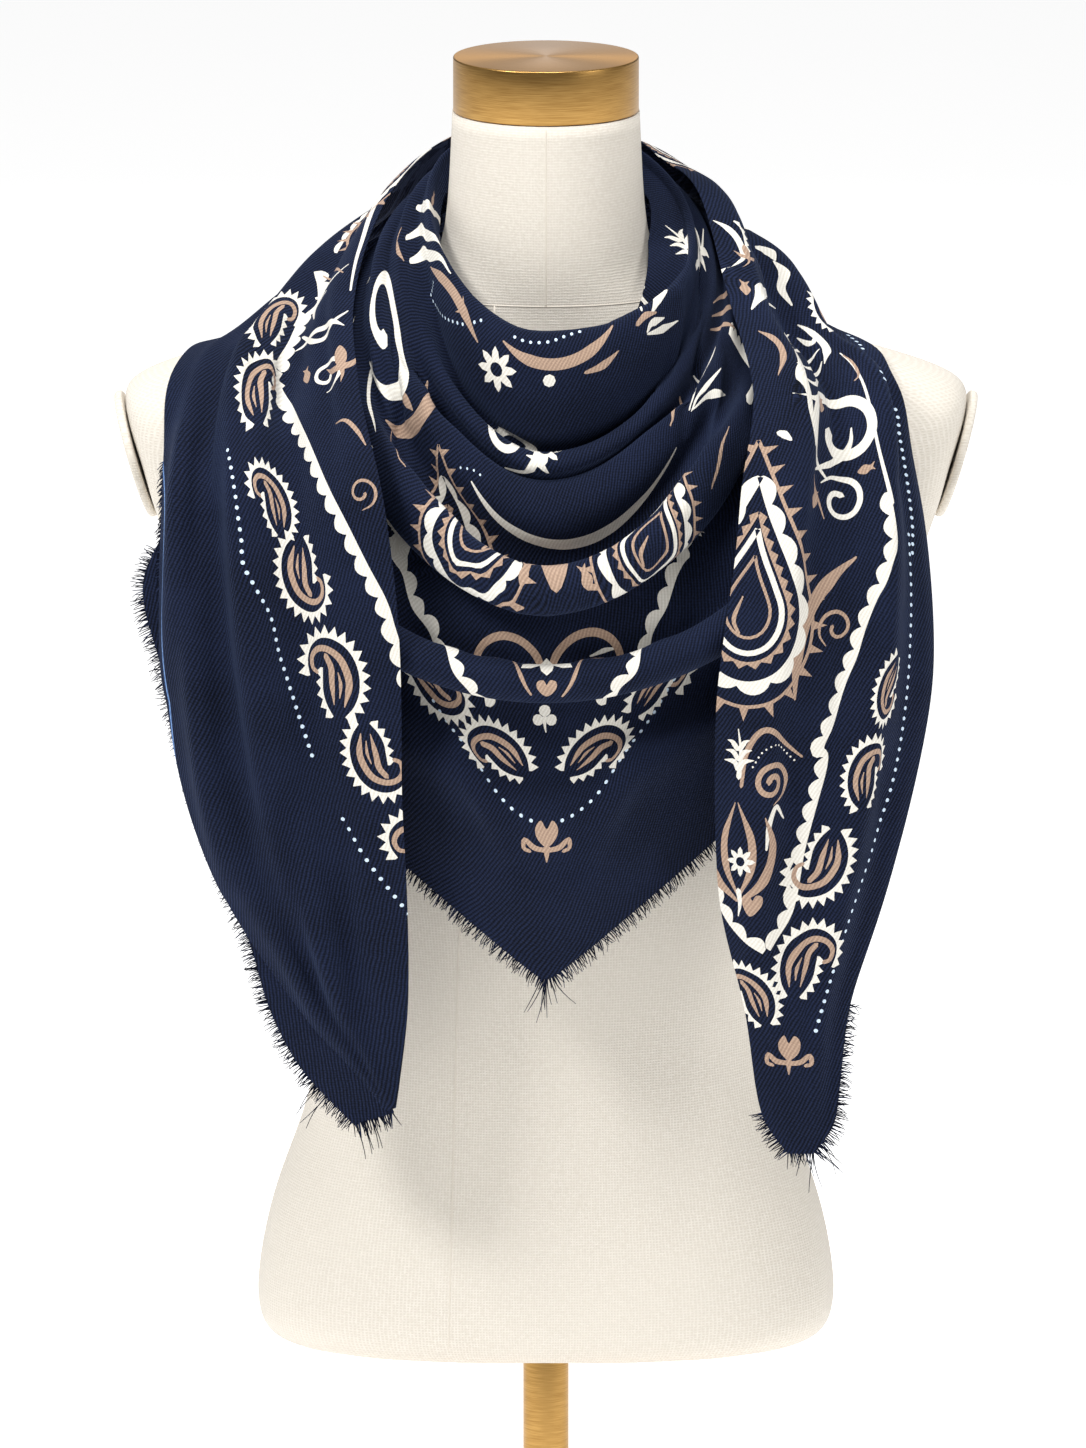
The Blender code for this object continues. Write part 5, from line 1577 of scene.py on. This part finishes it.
drape_shape = off_form(drape_grid(DRAPE_COLUMNS), form_solid, DRAPE_OFF_FORM)
drape_smooth = cloth_of(drape_shape, DRAPE_FINE)
drape = creased(drape_smooth, DRAPE_CREASES)
drape_print = printed_marks(drape_smooth, DRAPE_LINES, DRAPE_MARKS)
front_drape = sewn("twill_front_drape", drape, DRAPE_MESH, drape_print)
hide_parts("front_drape")

POINT_FRINGE_HALF = 78.0
hem_x = drape.points[-1, :, 0]
for name, node_name, side, tip in (
    ("frayed_point_left", "front_point_fringe_left", -1.0, 1.0),
    ("frayed_point_right", "front_point_fringe_right", 1.0, 0.0),
):
    shown = (hem_x * side > -0.5) & (hem_x * side < POINT_FRINGE_HALF)
    frayed_edge(name, [node_name], drape.points[-1, shown], drape.normals[-1, shown], 1.0, [tip])

# ---------------------------------------------------------------------------------------------------------
# Tails. The square's two long ends cross behind the neck and hang forward over the shoulders, pleated
# lengthwise. The right one lies on the cowl and the left one crosses outside it at the nape.
RIGHT_TAIL_OFF_CLOTH = 3.4
LEFT_TAIL_OFF_CLOTH = 3.1
TAIL_FINE = Fine(420, 260, 101, 41)
TAIL_MESH = (2.4, 2.8)
# For each line across a tail, where its inner and outer ends lie, and how far it bellies out.
Station = namedtuple("Station", "in_x in_out in_up edge_x edge_out edge_up belly")
LEFT_TAIL = (
    Station(22.0, -102.0, 557.0, 40.0, -112.0, 505.0, 3.0),
    Station(-8.0, -100.0, 561.0, -12.0, -115.0, 506.0, 4.0),
    Station(-38.0, -80.0, 561.0, -68.0, -100.0, 500.0, 4.0),
    Station(-62.0, -40.0, 551.0, -120.0, -62.0, 478.0, 3.0),
    Station(-79.0, -4.0, 529.0, -150.0, -20.0, 464.0, 1.0),
    Station(-88.0, 38.0, 499.0, -168.0, 18.0, 459.0, 1.0),
    Station(-84.0, 90.0, 464.0, -177.0, 54.0, 441.0, 5.0),
    Station(-74.0, 126.0, 430.0, -179.0, 74.0, 412.0, 10.0),
    Station(-68.0, 136.0, 385.0, -180.0, 86.0, 380.0, 12.0),
    Station(-66.0, 139.0, 340.0, -178.0, 96.0, 335.0, 12.0),
    Station(-66.0, 140.0, 290.0, -168.0, 105.0, 280.0, 11.0),
    Station(-64.0, 137.0, 240.0, -148.0, 114.0, 232.0, 9.0),
    Station(-64.0, 132.0, 190.0, -116.0, 121.0, 185.0, 5.0),
    Station(-68.0, 129.0, 152.0, -85.0, 126.0, 149.0, 2.0),
    Station(-70.0, 128.0, 138.0, -75.0, 127.0, 136.0, 0.0),
)
RIGHT_TAIL = (
    Station(-24.0, -88.0, 556.0, -36.0, -95.0, 502.0, 3.0),
    Station(8.0, -90.0, 560.0, 12.0, -99.0, 504.0, 4.0),
    Station(36.0, -76.0, 561.0, 58.0, -90.0, 504.0, 4.0),
    Station(54.0, -40.0, 555.0, 98.0, -58.0, 492.0, 6.0),
    Station(70.0, -6.0, 546.0, 124.0, -22.0, 480.0, 6.0),
    Station(84.0, 46.0, 505.0, 146.0, 16.0, 460.0, 6.0),
    Station(95.0, 96.0, 471.0, 163.0, 46.0, 452.0, 16.0),
    Station(90.0, 122.0, 435.0, 173.0, 68.0, 424.0, 20.0),
    Station(86.0, 134.0, 395.0, 179.0, 86.0, 385.0, 22.0),
    Station(79.0, 138.0, 340.0, 180.0, 100.0, 335.0, 20.0),
    Station(78.0, 138.0, 286.0, 170.0, 110.0, 281.0, 16.0),
    Station(81.0, 136.0, 235.0, 156.0, 117.0, 230.0, 12.0),
    Station(92.0, 131.0, 188.0, 142.0, 121.0, 186.0, 8.0),
    Station(98.0, 127.0, 146.0, 137.0, 122.0, 145.0, 4.0),
    Station(103.0, 125.0, 129.0, 134.0, 123.0, 128.0, 2.0),
    Station(113.0, 124.0, 115.0, 125.0, 124.0, 115.0, 0.0),
)

# Long folds of a tail: where each lies across it, from 0 at its inner edge to 1 at its outer one, at the
# nape, chest and hem, its half width in that measure, and how high it stands at five places down the tail
TailFold = namedtuple("TailFold", "at_nape at_chest at_hem half_wide nape shoulder chest waist hem")
LEFT_FOLDS = (
    TailFold(0.10, 0.06, 0.10, 0.12, 4.0, 4.0, 5.0, 3.0, 0.0),
    TailFold(0.38, 0.42, 0.38, 0.10, -5.0, -6.0, -9.0, -4.0, 0.0),
    TailFold(0.52, 0.58, 0.54, 0.10, 5.0, 9.0, 15.0, 6.0, 0.0),
    TailFold(0.66, 0.71, 0.68, 0.07, -4.0, -4.0, -5.0, -3.0, 0.0),
    TailFold(0.80, 0.84, 0.83, 0.09, 5.0, 8.0, 12.0, 4.0, 0.0),
)
RIGHT_FOLDS = (
    TailFold(0.14, 0.17, 0.18, 0.12, 5.0, 8.0, 9.0, 5.0, 0.0),
    TailFold(0.30, 0.33, 0.36, 0.07, -4.0, -5.0, -6.0, -3.0, 0.0),
    TailFold(0.47, 0.50, 0.55, 0.09, -4.0, -8.0, -8.0, -2.0, 0.0),
    TailFold(0.64, 0.68, 0.72, 0.10, 6.0, 9.0, 10.0, 5.0, 0.0),
    TailFold(0.82, 0.83, 0.88, 0.07, -3.0, -4.0, -4.0, -2.0, 0.0),
)
FOLD_STAGES = (0.0, 0.3, 0.5, 0.72, 1.0)
FULL_FOLD_WIDTH = 70.0


def grid_normals(grid):
    """Outward normals of a grid whose rows run down the cloth and whose columns run to the wearer's left.

    Each is the mean of the normals of the cloth above and below it, and so halves a sharp fold's angle.
    """
    across = np.gradient(grid, axis=1)
    faces = unit(np.cross(np.diff(grid, axis=0), across[:-1] + across[1:]))
    above = np.concatenate([faces[:1], faces])
    below = np.concatenate([faces, faces[-1:]])
    return unit(above + below)


def smoothed(values, passes):
    """Evens out a grid of numbers, keeping its edges."""
    for _ in range(passes):
        padded = np.pad(values, 1, mode="edge")
        around = padded[:-2, 1:-1] + padded[2:, 1:-1] + padded[1:-1, :-2] + padded[1:-1, 2:]
        values = 0.5 * values + 0.125 * around
    return values


def lift_off(grid, directions, tree, gap, reach=60.0):
    """Moves a grid's points along their directions until each lies a gap outside the outermost surface."""
    lift = np.zeros(grid.shape[:2])
    for row in range(grid.shape[0]):
        for column in range(grid.shape[1]):
            point = Vector(grid[row, column])
            outward = Vector(directions[row, column])
            hit, _, _, distance = tree.ray_cast(point + outward * reach, -outward, 2.0 * reach)
            if hit is not None:
                lift[row, column] = max(0.0, reach - distance + gap)
    spread = np.maximum(lift, smoothed(lift, 3))
    return grid + directions * spread[:, :, None]


def tail_base(stations, columns, rows):
    """The smooth sheet of a tail between its inner and outer ends."""
    along = np.linspace(0.0, 1.0, rows + 1)
    share = np.linspace(0.0, 1.0, columns + 1)[None, :, None]
    line = through([list(station) for station in stations], along)
    inner = np.stack([line[:, 0], -line[:, 1], line[:, 2]], axis=1)
    edge = np.stack([line[:, 3], -line[:, 4], line[:, 5]], axis=1)
    return inner[:, None, :] * (1.0 - share) + edge[:, None, :] * share, line[:, 6], along


def tail_grid(stations, folds, mirrored, columns=18, rows=30):
    """A tail's outer surface and the directions in which it was raised."""
    base, belly, along = tail_base(stations, columns, rows)
    outward = grid_normals(base) * (-1.0 if mirrored else 1.0)
    share = np.linspace(0.0, 1.0, columns + 1)
    height = belly[:, None] * 4.0 * share * (1.0 - share)
    wide = np.linalg.norm(base[:, -1] - base[:, 0], axis=1)
    room = np.minimum(1.0, wide / FULL_FOLD_WIDTH)
    for fold in folds:
        at = through([[fold.at_nape], [fold.at_chest], [fold.at_hem]], along)
        heights = [fold.nape, fold.shoulder, fold.chest, fold.waist, fold.hem]
        rise = (np.interp(along, FOLD_STAGES, heights) * room)[:, None]
        offset = np.clip(np.abs(share[None, :] - at) / (2.0 * fold.half_wide), 0.0, 1.0)
        height = height + rise * (0.5 + 0.5 * np.cos(math.pi * offset))
    return base + outward * height[:, :, None], outward


# The right end: dots and lumped border along the outer edge, drops between them, and the curls of the field
RIGHT_LINES = (
    SeenLine(stroke, CREAM, (0.8, 1.4, 2.2), ((836, 352), (869, 430), (886, 505))),
    SeenLine(dotted, PALE, (1.0, 4.6), (
        (847, 336), (862, 358), (875, 382), (886, 408), (896, 441), (903, 482), (907, 526), (908, 563),
    )),
    Line(dotted, PALE, (1.0, 5.0), ((8, 62), (22, 113), (45, 175), (53, 249), (56, 302))),
    SeenLine(scalloped, CREAM, (2.6, 3.6, 10.5), (
        (816, 745), (827, 719), (838, 682), (849, 656), (858, 630), (870, 600), (877, 585), (886, 563),
        (888, 545), (886, 520), (883, 497),
    ), ((-18, 102), (-8, 119), (-5, 150), (0, 190))),
    Line(scalloped, CREAM, (2.4, 3.4, 10.5), ((-50, 128), (-38, 112), (-20, 101))),
    SeenLine(stroke, TAUPE, (0.6, 1.4, 1.4, 0.6), ((838, 355), (846, 362), (852, 376), (850, 384))),
    SeenLine(toothed, CREAM, (1.2, 1.8, 4.0), ((732, 222), (741, 234), (747, 256))),
    SeenLine(stroke, CREAM, (3.4, 6.4, 1.0), ((757, 248), (767, 252), (775, 263))),
    SeenLine(stroke, CREAM, (0.8, 6.0, 4.0, 1.0), ((773, 262), (784, 276), (780, 290), (790, 305))),
    SeenLine(stroke, CREAM, (1.0, 7.4, 4.4, 0.8), ((749, 312), (757, 300), (766, 296), (773, 313))),
    SeenLine(stroke, CREAM, (0.8, 3.2, 3.2, 1.0), ((847, 430), (845, 448), (833, 463), (808, 472))),
    SeenLine(stroke, CREAM, (0.6, 3.6, 0.6), ((794, 338), (808, 346), (814, 336))),
    SeenLine(stroke, CREAM, (0.6, 4.0, 0.6), ((790, 352), (806, 362), (815, 350))),
    SeenLine(stroke, CREAM, (0.6, 4.0, 0.6), ((793, 368), (807, 378), (817, 364))),
    SeenLine(stroke, CREAM, (0.6, 3.6, 0.6), ((796, 384), (808, 392), (816, 380))),
    SeenLine(stroke, CREAM, (0.6, 3.2, 0.6), ((798, 398), (808, 404), (815, 396))),
    SeenLine(stroke, CREAM, (2.4, 4.0, 1.6), ((774, 434), (780, 438), (787, 443))),
    SeenLine(stroke, TAUPE, (0.6, 1.6, 0.6), ((806, 480), (812, 500), (820, 520))),
    SeenLine(stroke, TAUPE, (1.6, 3.0, 2.6, 1.0), ((739, 783), (744, 749), (765, 728), (797, 753))),
    SeenLine(dotted, CREAM, (0.5, 2.6), ((750, 764), (760, 748), (776, 744), (792, 760))),
    SeenLine(stroke, CREAM, (1.0, 2.6, 2.6, 0.8), ((763, 846), (765, 822), (773, 806), (780, 814))),
)
RIGHT_MARKS = (
    SeenMark("cream_arc", 712, 222, 726, 274, -1),
    SeenMark("taupe_arc", 755, 334, 774, 378, -1),
    SeenMark("cream_arc", 795, 326, 820, 366, -1),
    SeenMark("long_arc", 786, 336, 806, 448, 1),
    SeenMark("cream_curl", 822, 482, 846, 388, -1),
    SeenMark("cream_curl", 816, 486, 858, 518, -1),
    SeenMark("taupe_arc", 850, 560, 790, 696, 1),
    SeenMark("taupe_curl", 820, 646, 842, 612, -1),
    SeenMark("big_paisley", 730, 694, 757, 474, -1.15),
    SeenMark("arrow_flower", 745, 270, 743, 248, 0.8),
    SeenMark("bud", 744, 300, 743, 284, 1),
    SeenMark("bud", 815, 417, 814, 401, 1.6),
    SeenMark("bud", 808, 512, 810, 492, 1.4),
    SeenMark("bud", 852, 478, 870, 468, 1.2),
    SeenMark("leaf", 736, 528, 737, 496, 0.9),
    SeenMark("feather", 735, 775, 735, 728, 1),
    SeenMark("spiral", 770, 806, 766, 756, 1),
    SeenMark("lotus", 738, 912, 734, 800, 1),
    SeenMark("star_flower", 738, 872, 737, 842, 1),
    SeenMark("small_paisley", 891, 655, 874, 722, 0.62),
    SeenMark("small_paisley", 856, 808, 866, 736, -0.8),
    Mark("heart_leaf", -28, 118, -28, 129, 1),
    Mark("fleur", -5, 40, -5, 60, 1),
    Mark("small_paisley", 10, 160, 0, 124, -0.9),
    Mark("small_paisley", -4, 78, 6, 114, -0.9),
    Mark("small_paisley", -16, 64, -32, 92, 0.9),
    Mark("small_paisley", 36, 420, 34, 456, -0.7),
    Mark("small_paisley", 34, 490, 34, 526, 0.7),
    Mark("small_paisley", 33, 560, 33, 596, -0.7),
    Mark("big_paisley", -20, 520, -14, 600, 1),
    Mark("star_flower", -12, 622, -12, 640, 1),
)
# Folds that the cloth fell into, and the hollows between them
RIGHT_CREASES = (
    SeenCrease(800, 300, 884, 470, 5.0, -2.6),
    SeenCrease(830, 330, 892, 480, 7.0, 3.4),
    SeenCrease(783, 300, 826, 560, 5.0, -2.6),
    SeenCrease(765, 280, 800, 520, 7.0, 3.6),
    SeenCrease(742, 300, 762, 520, 5.0, -1.6),
    SeenCrease(850, 480, 884, 700, 9.0, 2.0),
    SeenCrease(800, 600, 850, 860, 10.0, 1.8),
    SeenCrease(770, 640, 806, 900, 6.0, -1.6),
    SeenCrease(880, 640, 878, 860, 6.0, -1.4),
    SeenCrease(740, 760, 770, 1040, 9.0, 1.8),
    SeenCrease(800, 880, 796, 1130, 8.0, 1.8),
    SeenCrease(760, 860, 776, 1120, 5.0, -1.4),
)


under_right = tree_of(*(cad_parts[n] for n in ("torso", "neck_cowl", "front_drape")))
right_shape, right_out = tail_grid(RIGHT_TAIL, RIGHT_FOLDS, False)
right_shape = lift_off(right_shape, right_out, under_right, RIGHT_TAIL_OFF_CLOTH)
right_smooth = cloth_of(right_shape, TAIL_FINE)
right = creased(right_smooth, RIGHT_CREASES)
right_print = printed_marks(right_smooth, RIGHT_LINES, RIGHT_MARKS)
right_tail = sewn("twill_right_tail", right, TAIL_MESH, right_print)
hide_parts("right_tail")


def border(cloth, first, corner, last):
    """The raw edge down a side of a tail from a share of its length, along its hem and up the other side."""
    rows = len(cloth.points) - 1
    made = []
    for grid in (cloth.points, cloth.normals):
        outer = grid[int(first * rows) :, corner]
        hem = grid[-1, 1:-1] if corner == 0 else grid[-1, -2:0:-1]
        inner = grid[int(last * rows) :, -1 - corner if corner else -1][::-1]
        made.append(np.concatenate([outer, hem, inner]))
    return made


# Shares of its length where the fringe starts on its outer side and ends on its inner one
RIGHT_FRAY = (0.80, 0.90)
right_edge, right_up = border(right, RIGHT_FRAY[0], -1, RIGHT_FRAY[1])
frayed_edge("frayed_right_tail", ["right_tail_fringe"], right_edge, right_up, -1.0, [0.62, 0.7])

# The left end: the same border turned over, a stitched line by the edge, and a few arcs and curls
LEFT_LINES = (
    SeenLine(dotted, PALE, (1.0, 4.8), (
        (232, 455), (236, 475), (240, 495), (244, 515), (246, 540), (249, 565), (260, 590), (275, 620),
        (282, 650), (290, 675), (302, 715), (316, 755),
    )),
    Line(dotted, PALE, (1.0, 5.5), ((25, 145), (29, 133), (38, 104), (44, 84))),
    Line(dotted, PALE, (1.0, 5.5), ((-36, 655), (-36, 560), (-34, 500), (-28, 452))),
    Line(scalloped, CREAM, (4.2, 2.6, 9.0), ((28, 556), (28, 536), (30, 520), (38, 500), (44, 484))),
    Line(stroke, CREAM, (4.4, 2.8, 1.8, 1.0), ((44, 484), (47, 460), (47, 440), (47, 420))),
    Line(stroke, THREAD, (1.2, 1.2), ((-67, 655), (-67, 480), (-68, 330), (-67, 180), (-63, 60))),
    SeenLine(scalloped, CREAM, (3.0, 3.8, 10.5, -1.0), (
        (280, 380), (295, 415), (312, 450), (330, 490), (350, 530), (370, 570), (388, 606), (398, 640),
    )),
    Line(scalloped, CREAM, (3.0, 3.6, 10.5, -1.0), ((62, 236), (65, 215), (68, 190))),
    SeenLine(scalloped, CREAM, (3.6, 3.0, 9.0), (
        (317, 272), (322, 288), (318, 303), (306, 322), (292, 345), (281, 372),
    )),
    Line(scalloped, CREAM, (1.2, 1.6, 11.0, -1.0), ((-4, 655), (-2, 560), (8, 480))),
    SeenLine(stroke, CREAM, (1.6, 3.2, 3.0, 0.8), ((304, 340), (316, 344), (330, 334), (350, 316))),
    SeenLine(stroke, CREAM, (0.8, 4.0, 1.0), ((314, 322), (316, 308), (328, 294))),
    SeenLine(stroke, CREAM, (2.6, 2.6, 0.6), ((318, 300), (334, 282), (350, 268))),
    SeenLine(stroke, TAUPE, (0.5, 2.0, 2.2, 0.8), ((338, 428), (350, 428), (362, 437), (369, 450))),
    SeenLine(stroke, TAUPE, (0.8, 2.6, 0.6), ((325, 276), (336, 270), (345, 276))),
)
LEFT_MARKS = (
    SeenMark("cream_arc", 297, 354, 348, 332, -1),
    SeenMark("cream_curl", 328, 396, 328, 362, 1),
    SeenMark("taupe_curl", 366, 512, 366, 480, 1),
    SeenMark("arrow_flower", 346, 388, 344, 352, 0.7),
    SeenMark("bud", 310, 386, 308, 372, 1),
    SeenMark("small_paisley", 267, 350, 286, 296, -0.55),
    SeenMark("small_paisley", 262, 431, 264, 358, -0.5),
    SeenMark("small_paisley", 288, 541, 268, 467, 0.62),
    SeenMark("small_paisley", 302, 536, 314, 618, 0.72),
    SeenMark("small_paisley", 344, 718, 334, 632, 0.85),
    SeenMark("small_paisley", 366, 722, 392, 796, 0.8),
    Mark("small_paisley", 62, 104, 54, 142, 0.85),
    Mark("small_paisley", -20, 470, -24, 506, -0.7),
    Mark("small_paisley", -24, 540, -24, 576, 0.7),
    Mark("small_paisley", -24, 610, -24, 646, -0.7),
    Mark("big_paisley", 30, 480, 34, 560, 1),
    Mark("big_paisley", 30, 570, 30, 648, -1),
)
# Folds that the cloth fell into, and the hollows between them
LEFT_CREASES = (
    SeenCrease(274, 320, 244, 520, 5.0, -2.6),
    SeenCrease(252, 330, 216, 520, 8.0, 4.2),
    SeenCrease(304, 300, 286, 440, 4.0, -1.8),
    SeenCrease(292, 300, 262, 470, 6.0, 3.4),
    SeenCrease(340, 270, 352, 470, 5.0, 2.0),
    SeenCrease(356, 300, 372, 520, 5.0, 2.2),
    SeenCrease(326, 300, 340, 470, 4.0, -1.8),
    SeenCrease(216, 400, 190, 640, 6.0, -1.8),
    SeenCrease(190, 420, 172, 700, 8.0, 3.6),
    SeenCrease(250, 540, 300, 800, 9.0, 3.4),
    SeenCrease(220, 560, 262, 820, 7.0, -1.8),
    SeenCrease(200, 640, 236, 900, 8.0, 3.2),
    SeenCrease(330, 600, 360, 820, 9.0, 2.0),
    SeenCrease(320, 760, 350, 1050, 8.0, 3.0),
    SeenCrease(290, 780, 322, 1060, 6.0, -1.8),
    SeenCrease(258, 820, 300, 1080, 7.0, 3.0),
    SeenCrease(372, 760, 384, 1060, 7.0, 1.8),
    SeenCrease(352, 800, 366, 1080, 5.0, -1.6),
)

under_left = tree_of(*(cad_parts[n] for n in ("torso", "neck_cowl", "front_drape", "right_tail")))
left_shape, left_out = tail_grid(LEFT_TAIL, LEFT_FOLDS, True)
left_shape = lift_off(left_shape, left_out, under_left, LEFT_TAIL_OFF_CLOTH)
left_smooth = cloth_of(left_shape[:, ::-1], TAIL_FINE)
left = creased(left_smooth, LEFT_CREASES)
left_print = printed_marks(left_smooth, LEFT_LINES, LEFT_MARKS)
left_tail = sewn("twill_left_tail", left, TAIL_MESH, left_print)
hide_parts("left_tail")

# Between these shares of its length the left tail shows its own frayed edge, over the second layer's start
LEFT_FRAY = (0.455, 0.58)
shown = slice(*(int(share * (len(left.points) - 1)) for share in LEFT_FRAY))
frayed_edge("frayed_left_tail", ["left_tail_fringe"], left.points[shown, 0], left.normals[shown, 0], 1.0, [])

# ---------------------------------------------------------------------------------------------------------
# Second layer. The other half of the folded square shows as a darker strip beyond the left tail's edge. It is
# built as plain twill. Each row gives its hidden inner line and its frayed outer line.
UnderRow = namedtuple("UnderRow", "in_x in_up edge_x edge_up")
UNDER = (
    UnderRow(-166.0, 402.0, -180.0, 398.0),
    UnderRow(-164.0, 384.0, -188.0, 374.0),
    UnderRow(-157.0, 345.0, -176.0, 330.0),
    UnderRow(-144.0, 285.0, -159.0, 270.0),
    UnderRow(-122.0, 232.0, -139.0, 216.0),
    UnderRow(-98.0, 188.0, -129.0, 182.0),
    UnderRow(-80.0, 158.0, -114.0, 153.0),
    UnderRow(-71.0, 135.0, -90.0, 128.0),
)
UNDER_COLUMNS = 6
UNDER_ROWS = 20
UNDER_BEHIND = 2.5
UNDER_SLOPE = 0.35
UNDER_FINE = Fine(160, 40, 61, 13)
UNDER_MESH = (2.6, 3.0)
# Its frayed edge starts this many rows down
UNDER_EDGE_START = 6


def under_grid():
    """The second layer: a strip that starts behind the left tail's outer part and shows beyond its edge."""
    along = np.linspace(0.0, 1.0, UNDER_ROWS + 1)
    share = np.linspace(0.0, 1.0, UNDER_COLUMNS + 1)[None, :]
    line = through([list(row) for row in UNDER], along)
    x = line[:, 0:1] * (1.0 - share) + line[:, 2:3] * share
    z = line[:, 1:2] * (1.0 - share) + line[:, 3:4] * share
    edge = through([list(station) for station in LEFT_TAIL], np.linspace(0.3, 1.0, 60))[::-1]
    edge_x = np.interp(z, edge[:, 5], edge[:, 3])
    edge_out = np.interp(z, edge[:, 5], edge[:, 4])
    out = edge_out - UNDER_BEHIND + UNDER_SLOPE * (x - edge_x)
    return np.stack([x, -out, z], axis=2)


layer = cloth_of(under_grid()[:, ::-1], UNDER_FINE)
left_under = sewn("twill_left_under", layer, UNDER_MESH, [])
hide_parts("left_tail_under")
under_edge, under_up = (
    np.concatenate([grid[UNDER_EDGE_START:, 0], grid[-1, 1:]]) for grid in (layer.points, layer.normals)
)
frayed_edge("frayed_left_under", ["left_under_fringe"], under_edge, under_up, 1.0, [0.86, 0.95])
